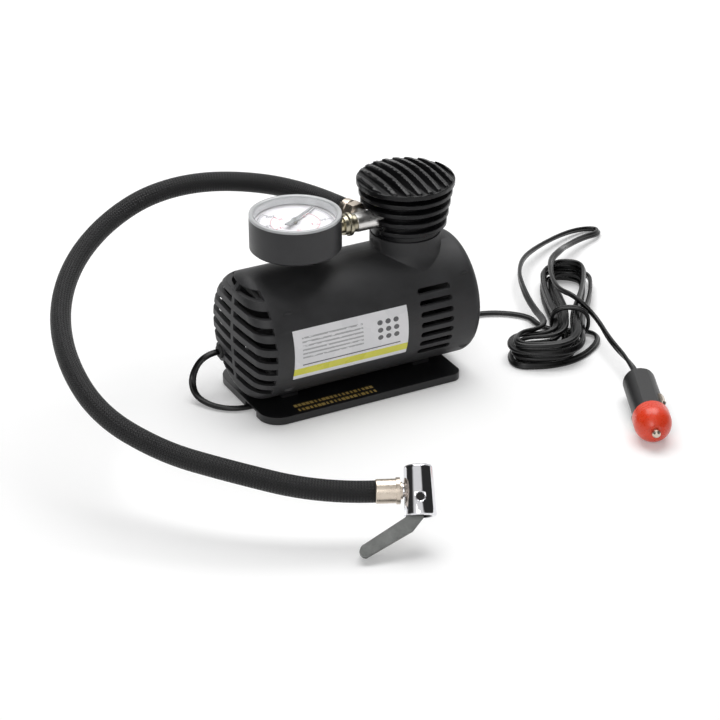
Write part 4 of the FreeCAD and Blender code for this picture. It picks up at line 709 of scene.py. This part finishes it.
merged("housing_front_shell", "housing_front", housing_black, UNIT)
merged("housing_rear_shell", "housing_rear", housing_black, UNIT)
merged("head_cap", "head_cover", cover_black, UNIT, flat=0.02)
merged("base", "base_plate", base_black, UNIT)
merged("gauge_housing", "gauge_case", gauge_black, UNIT, edge=0.6)
merged("outlet_head", "cylinder_head", alloy_cast, UNIT)
merged("tee", "tee_fitting", tee_brass, UNIT)
merged("nut", "hose_nut", nickel_warm, UNIT)
merged("ferrule_pump", "pump_ferrule", nickel_warm, UNIT)
merged("ferrule_chuck", "chuck_ferrule", nickel_warm, UNIT)
merged("chuck_shell", "chuck_body", chrome_bright, UNIT)
merged("lever_arm", "chuck_lever", lever_alloy, "lever")
merged("plug_shell", "plug_body", plug_black, UNIT)
merged("plug_nose", "plug_cap", cap_red, UNIT)

# ---------------------------------------------------------------- gauge face

# The gauge's foot and the heights above it, in millimetres; its zero and sweep, in degrees.
GAUGE = Vector((-31.9, -3.0, 90.5))
PRINT_TOP = 14.46
NEEDLE_LOW, NEEDLE_HIGH = 16.0, 16.6
ZERO, SWEEP = 33.0, 270.0
NUMBERS_TURN = 168.0


def turned(name, corners, centre, finish):
    """Ring or disc: corners (radius, height) carried round an upright axis."""
    mesh = bmesh.new()
    verts = [mesh.verts.new((centre + Vector((r, 0, z))) * MM) for r, z in corners]
    edges = [mesh.edges.new((verts[i], verts[(i + 1) % len(verts)])) for i in range(len(verts))
             if not (corners[i][0] == 0 and corners[(i + 1) % len(verts)][0] == 0)]
    bmesh.ops.spin(mesh, geom=verts + edges, cent=centre * MM, axis=(0, 0, 1), angle=math.tau, steps=96,
                   use_merge=True)
    bmesh.ops.remove_doubles(mesh, verts=mesh.verts, dist=1e-6)
    bmesh.ops.recalc_face_normals(mesh, faces=mesh.faces)
    return piece(name, mesh, finish, sharp=35)


DISC_CORNERS = [(0, 19.5), (22.9, 19.4), (22.9, 19.9), (14.0, 20.15), (0, 20.25)]
RIM_CORNERS = [(22.6, 19.25), (22.6, 15.2), (23.5, 15.2), (23.5, 18.9), (25.5, 19.02), (25.5, 20.0),
               (25.35, 20.4), (25.0, 20.6), (23.9, 20.6), (23.3, 20.3), (22.9, 19.95)]


def lens_and_rim():
    """The lens as a clear, slightly domed disc in a pale rim."""
    disc = turned("lens_disc", DISC_CORNERS, GAUGE, lens_clear)
    rim = turned("lens_rim", RIM_CORNERS, GAUGE, lens_rim_pale)
    for made in (disc, rim):
        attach(made, UNIT)
        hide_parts("gauge_lens")


def needle_hand():
    """Flat hand with a short wide tail, pointing at zero."""
    half = [(-8.2, 1.8), (-2.6, 1.1), (-1.9, 1.5), (-0.8, 2.0), (0.8, 2.0), (1.9, 1.5), (2.6, 1.0),
            (18.6, 0.6), (20.4, 0.12)]
    outline = half + [(along, -side) for along, side in reversed(half)]
    turn = Matrix.Rotation(math.radians(ZERO), 3, "Z")
    mesh = bmesh.new()
    lower, upper = ([mesh.verts.new((GAUGE + turn @ Vector((a, b, height))) * MM) for a, b in outline]
                    for height in (NEEDLE_LOW, NEEDLE_HIGH))
    mesh.faces.new(lower[::-1])
    mesh.faces.new(upper)
    for i in range(len(outline)):
        k = (i + 1) % len(outline)
        mesh.faces.new((lower[i], lower[k], upper[k], upper[i]))
    bmesh.ops.recalc_face_normals(mesh, faces=mesh.faces)
    made = piece("needle_hand", mesh, needle_grey, smooth=False)
    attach(made, "needle")
    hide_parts("gauge_needle")


def tree_of(name, sizes):
    """Empty Geometry Nodes tree with named inputs, and the function that adds a node to it."""
    tree = bpy.data.node_groups.new(name, "GeometryNodeTree")
    for key, kind in [("Geometry", "Geometry")] + sizes + [("Finish", "Material")]:
        tree.interface.new_socket(key, in_out="INPUT", socket_type="NodeSocket" + kind)
    tree.interface.new_socket("Geometry", in_out="OUTPUT", socket_type="NodeSocketGeometry")
    given = tree.nodes.new("NodeGroupInput").outputs

    def add(kind, links, **settings):
        node = tree.nodes.new(kind)
        for key, value in settings.items():
            setattr(node, key, value)
        for key, value in links.items():
            socket = node.inputs[key]
            if isinstance(value, bpy.types.NodeSocket):
                tree.links.new(value, socket)
            else:
                socket.default_value = value
        return node.outputs

    def close(instances):
        solid = add("GeometryNodeRealizeInstances", {"Geometry": instances})[0]
        done = add("GeometryNodeSetMaterial", {"Geometry": solid, "Material": given["Finish"]})[0]
        tree.links.new(done, tree.nodes.new("NodeGroupOutput").inputs["Geometry"])
        return tree

    return given, add, close


def arc_tree():
    """Bars set out on an arc, each pointing at its centre."""
    given, add, close = tree_of("bars_on_an_arc", [
        ("Count", "Int"), ("Radius", "Float"), ("Start", "Float"), ("Step", "Float"), ("Size", "Vector"),
        ("Centre", "Vector")])
    index = add("GeometryNodeInputIndex", {})[0]
    angle = add("ShaderNodeMath", {0: index, 1: given["Step"], 2: given["Start"]},
                operation="MULTIPLY_ADD")[0]
    way = [add("ShaderNodeMath", {0: angle}, operation=name)[0] for name in ("COSINE", "SINE")]
    x, y = (add("ShaderNodeMath", {0: share, 1: given["Radius"]}, operation="MULTIPLY")[0] for share in way)
    offset = add("ShaderNodeCombineXYZ", {"X": x, "Y": y})[0]
    spot = add("ShaderNodeVectorMath", {0: offset, 1: given["Centre"]}, operation="ADD")[0]
    points = add("GeometryNodePoints", {"Count": given["Count"], "Position": spot})[0]
    turn = add("ShaderNodeCombineXYZ", {"Z": angle})[0]
    bar = add("GeometryNodeMeshCube", {"Size": given["Size"]})[0]
    bars = add("GeometryNodeInstanceOnPoints", {"Points": points, "Instance": bar, "Rotation": turn})[0]
    return close(bars)


def row_tree():
    """Dashes of uneven length in a straight row."""
    given, add, close = tree_of("dashes_in_a_row", [
        ("Count", "Int"), ("Pitch", "Float"), ("Size", "Vector"), ("First", "Vector"), ("Seed", "Int")])
    index = add("GeometryNodeInputIndex", {})[0]
    run = add("ShaderNodeMath", {0: index, 1: given["Pitch"]}, operation="MULTIPLY")[0]
    offset = add("ShaderNodeCombineXYZ", {"X": run})[0]
    spot = add("ShaderNodeVectorMath", {0: offset, 1: given["First"]}, operation="ADD")[0]
    points = add("GeometryNodePoints", {"Count": given["Count"], "Position": spot})[0]
    uneven = add("FunctionNodeRandomValue", {2: 0.35, 3: 1.0, "ID": index, "Seed": given["Seed"]})[1]
    stretch = add("ShaderNodeCombineXYZ", {"X": uneven, "Y": 1.0, "Z": 1.0})[0]
    dash = add("GeometryNodeMeshCube", {"Size": given["Size"]})[0]
    row = add("GeometryNodeInstanceOnPoints", {"Points": points, "Instance": dash, "Scale": stretch})[0]
    return close(row)


def grown(name, tree, finish, **values):
    """A Geometry Nodes tree's result as a plain mesh."""
    made = clean(name, bpy.data.meshes.new(name), finish, smooth=False)
    modifier = made.modifiers.new("grow", "NODES")
    modifier.node_group = tree
    values["Finish"] = finish.mat
    for item in tree.interface.items_tree:
        if item.in_out == "INPUT" and item.name in values:
            modifier[item.identifier] = values[item.name]
    return settle(made)


def dial_marks():
    """Ticks and lines of both scales; a line is many short bars end to end."""
    ticks = arc_tree()
    top = (GAUGE + Vector((0, 0, PRINT_TOP))) * MM
    start = math.radians(ZERO)
    for name, count, radius, long, wide, finish in (
            ("dial_long_ticks", 7, 19.2, 3.2, 0.55, dial_print),
            ("dial_short_ticks", 61, 20.1, 1.5, 0.22, dial_print),
            ("dial_rim_line", 181, 21.0, 0.28, 0.4, dial_print),
            ("dial_red_ticks", 5, 12.4, 2.0, 0.5, dial_red),
            ("dial_red_line", 121, 13.5, 0.25, 0.35, dial_red)):
        made = grown(name, ticks, finish, Count=count, Radius=radius * MM, Start=start,
                     Step=-math.radians(SWEEP) / (count - 1), Size=tuple(mm(long, wide, 0.12)),
                     Centre=tuple(top))
        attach(made, UNIT)


def dial_numbers():
    """Plain numbers: one ring along the ticks and one inside it."""
    for name, count, step, radius, size, finish in (("dial_numbers", 7, 50, 15.6, 3.5, dial_print),
                                                   ("dial_red_numbers", 5, 5, 9.2, 2.6, dial_red)):
        mesh = bmesh.new()
        for i in range(count):
            text = bpy.data.curves.new("number", "FONT")
            text.body = str(i * step)
            text.size = size * MM
            text.extrude = 0.06 * MM
            text.align_x, text.align_y = "CENTER", "CENTER"
            text.resolution_u = 3
            holder = bpy.data.objects.new("number", text)
            scene.collection.objects.link(holder)
            flat = bpy.data.meshes.new_from_object(holder)
            angle = math.radians(ZERO - SWEEP * i / (count - 1))
            place = GAUGE + Vector((radius * math.cos(angle), radius * math.sin(angle), PRINT_TOP))
            upright = Matrix.Rotation(math.radians(NUMBERS_TURN), 4, "Z")
            flat.transform(Matrix.Translation(place * MM) @ upright)
            mesh.from_mesh(flat)
            bpy.data.objects.remove(holder)
            bpy.data.curves.remove(text)
            bpy.data.meshes.remove(flat)
        made = piece(name, mesh, finish, smooth=False)
        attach(made, UNIT)


DASHES_TOP = 5.13  # height of the base plate's print, in millimetres


def base_dashes():
    """Two rows of plain gold dashes printed on the base plate."""
    dashes = row_tree()
    for name, y, seed in (("base_dashes_inner", -25.6, 3), ("base_dashes_outer", -30.6, 8)):
        made = grown(name, dashes, gold_print, Count=20, Pitch=2.5 * MM, Size=tuple(mm(2.1, 2.7, 0.08)),
                     First=tuple(mm(-44.5, y, DASHES_TOP)), Seed=seed)
        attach(made, UNIT)


def valve_spring():
    """The outlet valve's spring, with a mesh of its own."""
    made = merged("valve_spring", "outlet_spring", steel_bright, UNIT)
    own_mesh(made)


def pivot_shade_cap():
    """Dark cap that fills the eye of the chuck's pivot: painted shade standing for the eye's dark hollow."""
    out = MOUTH.cross(TOWARDS_HOSE).normalized()
    corners = [v.co for v in nodes["chuck_pin"].data.vertices]
    end = max(v.dot(out) for v in corners)
    middle = sum(corners, Vector()) / len(corners)
    middle += out * (end - middle.dot(out))
    mesh = bmesh.new()
    place = Matrix.Translation(middle + out * 0.55 * MM) @ out.to_track_quat("Z", "Y").to_matrix().to_4x4()
    bmesh.ops.create_cone(mesh, cap_ends=True, segments=32, radius1=2.2 * MM, radius2=1.9 * MM,
                          depth=1.0 * MM, matrix=place)
    made = piece("pivot_shade_cap", mesh, pivot_painted_shade, sharp=35)
    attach(made, UNIT)


lens_and_rim()
needle_hand()
dial_marks()
dial_numbers()
base_dashes()
valve_spring()
pivot_shade_cap()

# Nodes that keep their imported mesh.
DRESSED = {"armature": iron_grey, "commutator": copper_wound, "motor_shaft": steel_bright,
           "motor_pinion": brass_turned, "drive_gear": nylon_white, "gear_shaft": steel_bright,
           "crank_pin": steel_bright, "connecting_rod": nylon_white, "piston_cup": rubber_black,
           "cup_retainer": screw_steel, "outlet_valve": rubber_black, "needle_spindle": brass_turned,
           "gauge_sector": brass_turned, "chuck_plunger": brass_turned, "plug_tip": nickel_warm,
           "plug_side_contact_a": nickel_warm, "plug_side_contact_b": nickel_warm,
           "housing_screws": screw_steel, "base_screws": screw_steel, "rubber_feet": rubber_black,
           "gearbox_frame": alloy_cast, "motor_can": steel_bright, "motor_end_cap": rubber_black,
           "magnets": iron_grey, "gear_bush": brass_turned, "cylinder_barrel": alloy_cast,
           "valve_plate": steel_bright, "cylinder_screws": screw_steel, "gauge_stem": brass_turned,
           "gauge_dial": dial_paper, "bourdon_tube": copper_wound, "chuck_pin": pivot_painted_shade,
           "chuck_seal": rubber_black, "cord_grommet": rubber_black, "plug_fuse": glass_fuse,
           "side_label": label_print}
for node, finish in DRESSED.items():
    dress(node, finish)

# ---------------------------------------------------------------- floor and light


def stage_floor():
    """Pale floor whose own glow, seen only directly or in gloss, grows outwards and so hides its far edge."""
    size = 6.0
    data = bpy.data.meshes.new("floor")
    corners = [(-size, -size, 0), (size, -size, 0), (size, size, 0), (-size, size, 0)]
    data.from_pydata(corners, [], [(0, 1, 2, 3)])
    f = Finish("floor_white")
    f.set(roughness=0.9, specular_ior_level=0.1)
    slow = f.noise(f.place(), 3.0, 2.0)
    f.wire(base_color=f.blend(slow, (0.82, 0.82, 0.82), (0.84, 0.84, 0.84)))
    glow = f.add("ShaderNodeEmission")
    reach = f.add("ShaderNodeVectorMath", operation="LENGTH")
    f.link(f.place(), reach.inputs[0])
    f.link(f.spread(reach.outputs["Value"], 0.35, 1.7, 0.2, 0.9), glow.inputs["Strength"])
    both = f.add("ShaderNodeAddShader")
    f.link(f.bsdf.outputs[0], both.inputs[0])
    f.link(glow.outputs[0], both.inputs[1])
    path = f.add("ShaderNodeLightPath")
    seen = f.math("MAXIMUM", path.outputs["Is Camera Ray"],
                  f.math("MAXIMUM", path.outputs["Is Glossy Ray"], path.outputs["Is Transmission Ray"]))
    mix = f.add("ShaderNodeMixShader")
    f.link(seen, mix.inputs[0])
    f.link(f.bsdf.outputs[0], mix.inputs[1])
    f.link(both.outputs[0], mix.inputs[2])
    f.link(mix.outputs[0], f.out.inputs["Surface"])
    made = clean("floor", data, f, smooth=False)


def softbox(name, at, aim, width, height, power):
    data = bpy.data.lights.new(name, "AREA")
    data.shape = "RECTANGLE"
    data.size, data.size_y = width, height
    data.energy = power
    made = bpy.data.objects.new(name, data)
    scene.collection.objects.link(made)
    made.location = at
    made.rotation_mode = "QUATERNION"
    made.rotation_quaternion = (Vector(aim) - Vector(at)).to_track_quat("-Z", "Y")


def studio_bands(n):
    """What polished metal sees round the stage: pale panels with dark gaps between them."""
    x, y, _ = n.coordinates("Generated")
    azimuth = n.math("ADD", n.math("ARCTAN2", y, x), 2.3)
    wave = n.math("COSINE", n.math("MULTIPLY", azimuth, 2.0))
    return n.spread(wave, -0.35, 0.25, 0.03, 0.8, interpolation_type="SMOOTHSTEP")


def sky():
    """White where it is seen directly, bands in gloss, and a low even light on everything else."""
    world = bpy.data.worlds.new("studio")
    scene.world = world
    world.use_nodes = True
    n = Nodes(world.node_tree)
    shade = n.tree.nodes["Background"]
    shade.inputs["Color"].default_value = (1, 1, 1, 1)
    path = n.add("ShaderNodeLightPath").outputs
    seen = n.math("MAXIMUM", path["Is Camera Ray"], path["Is Transmission Ray"])
    mixed = n.add("ShaderNodeMix")
    n.link(path["Is Glossy Ray"], mixed.inputs[0])
    n.link(n.spread(seen, 0.0, 1.0, 0.28, 1.0), mixed.inputs[2])
    n.link(studio_bands(n), mixed.inputs[3])
    n.link(mixed.outputs[0], shade.inputs["Strength"])


stage_floor()
sky()
softbox("overhead", (0.2, 0.3, 1.1), (0, 0, 0), 1.2, 0.9, 13.0)
softbox("front_left", (-0.9, -1.0, 0.8), (0, 0, 0.05), 0.7, 0.7, 5.0)
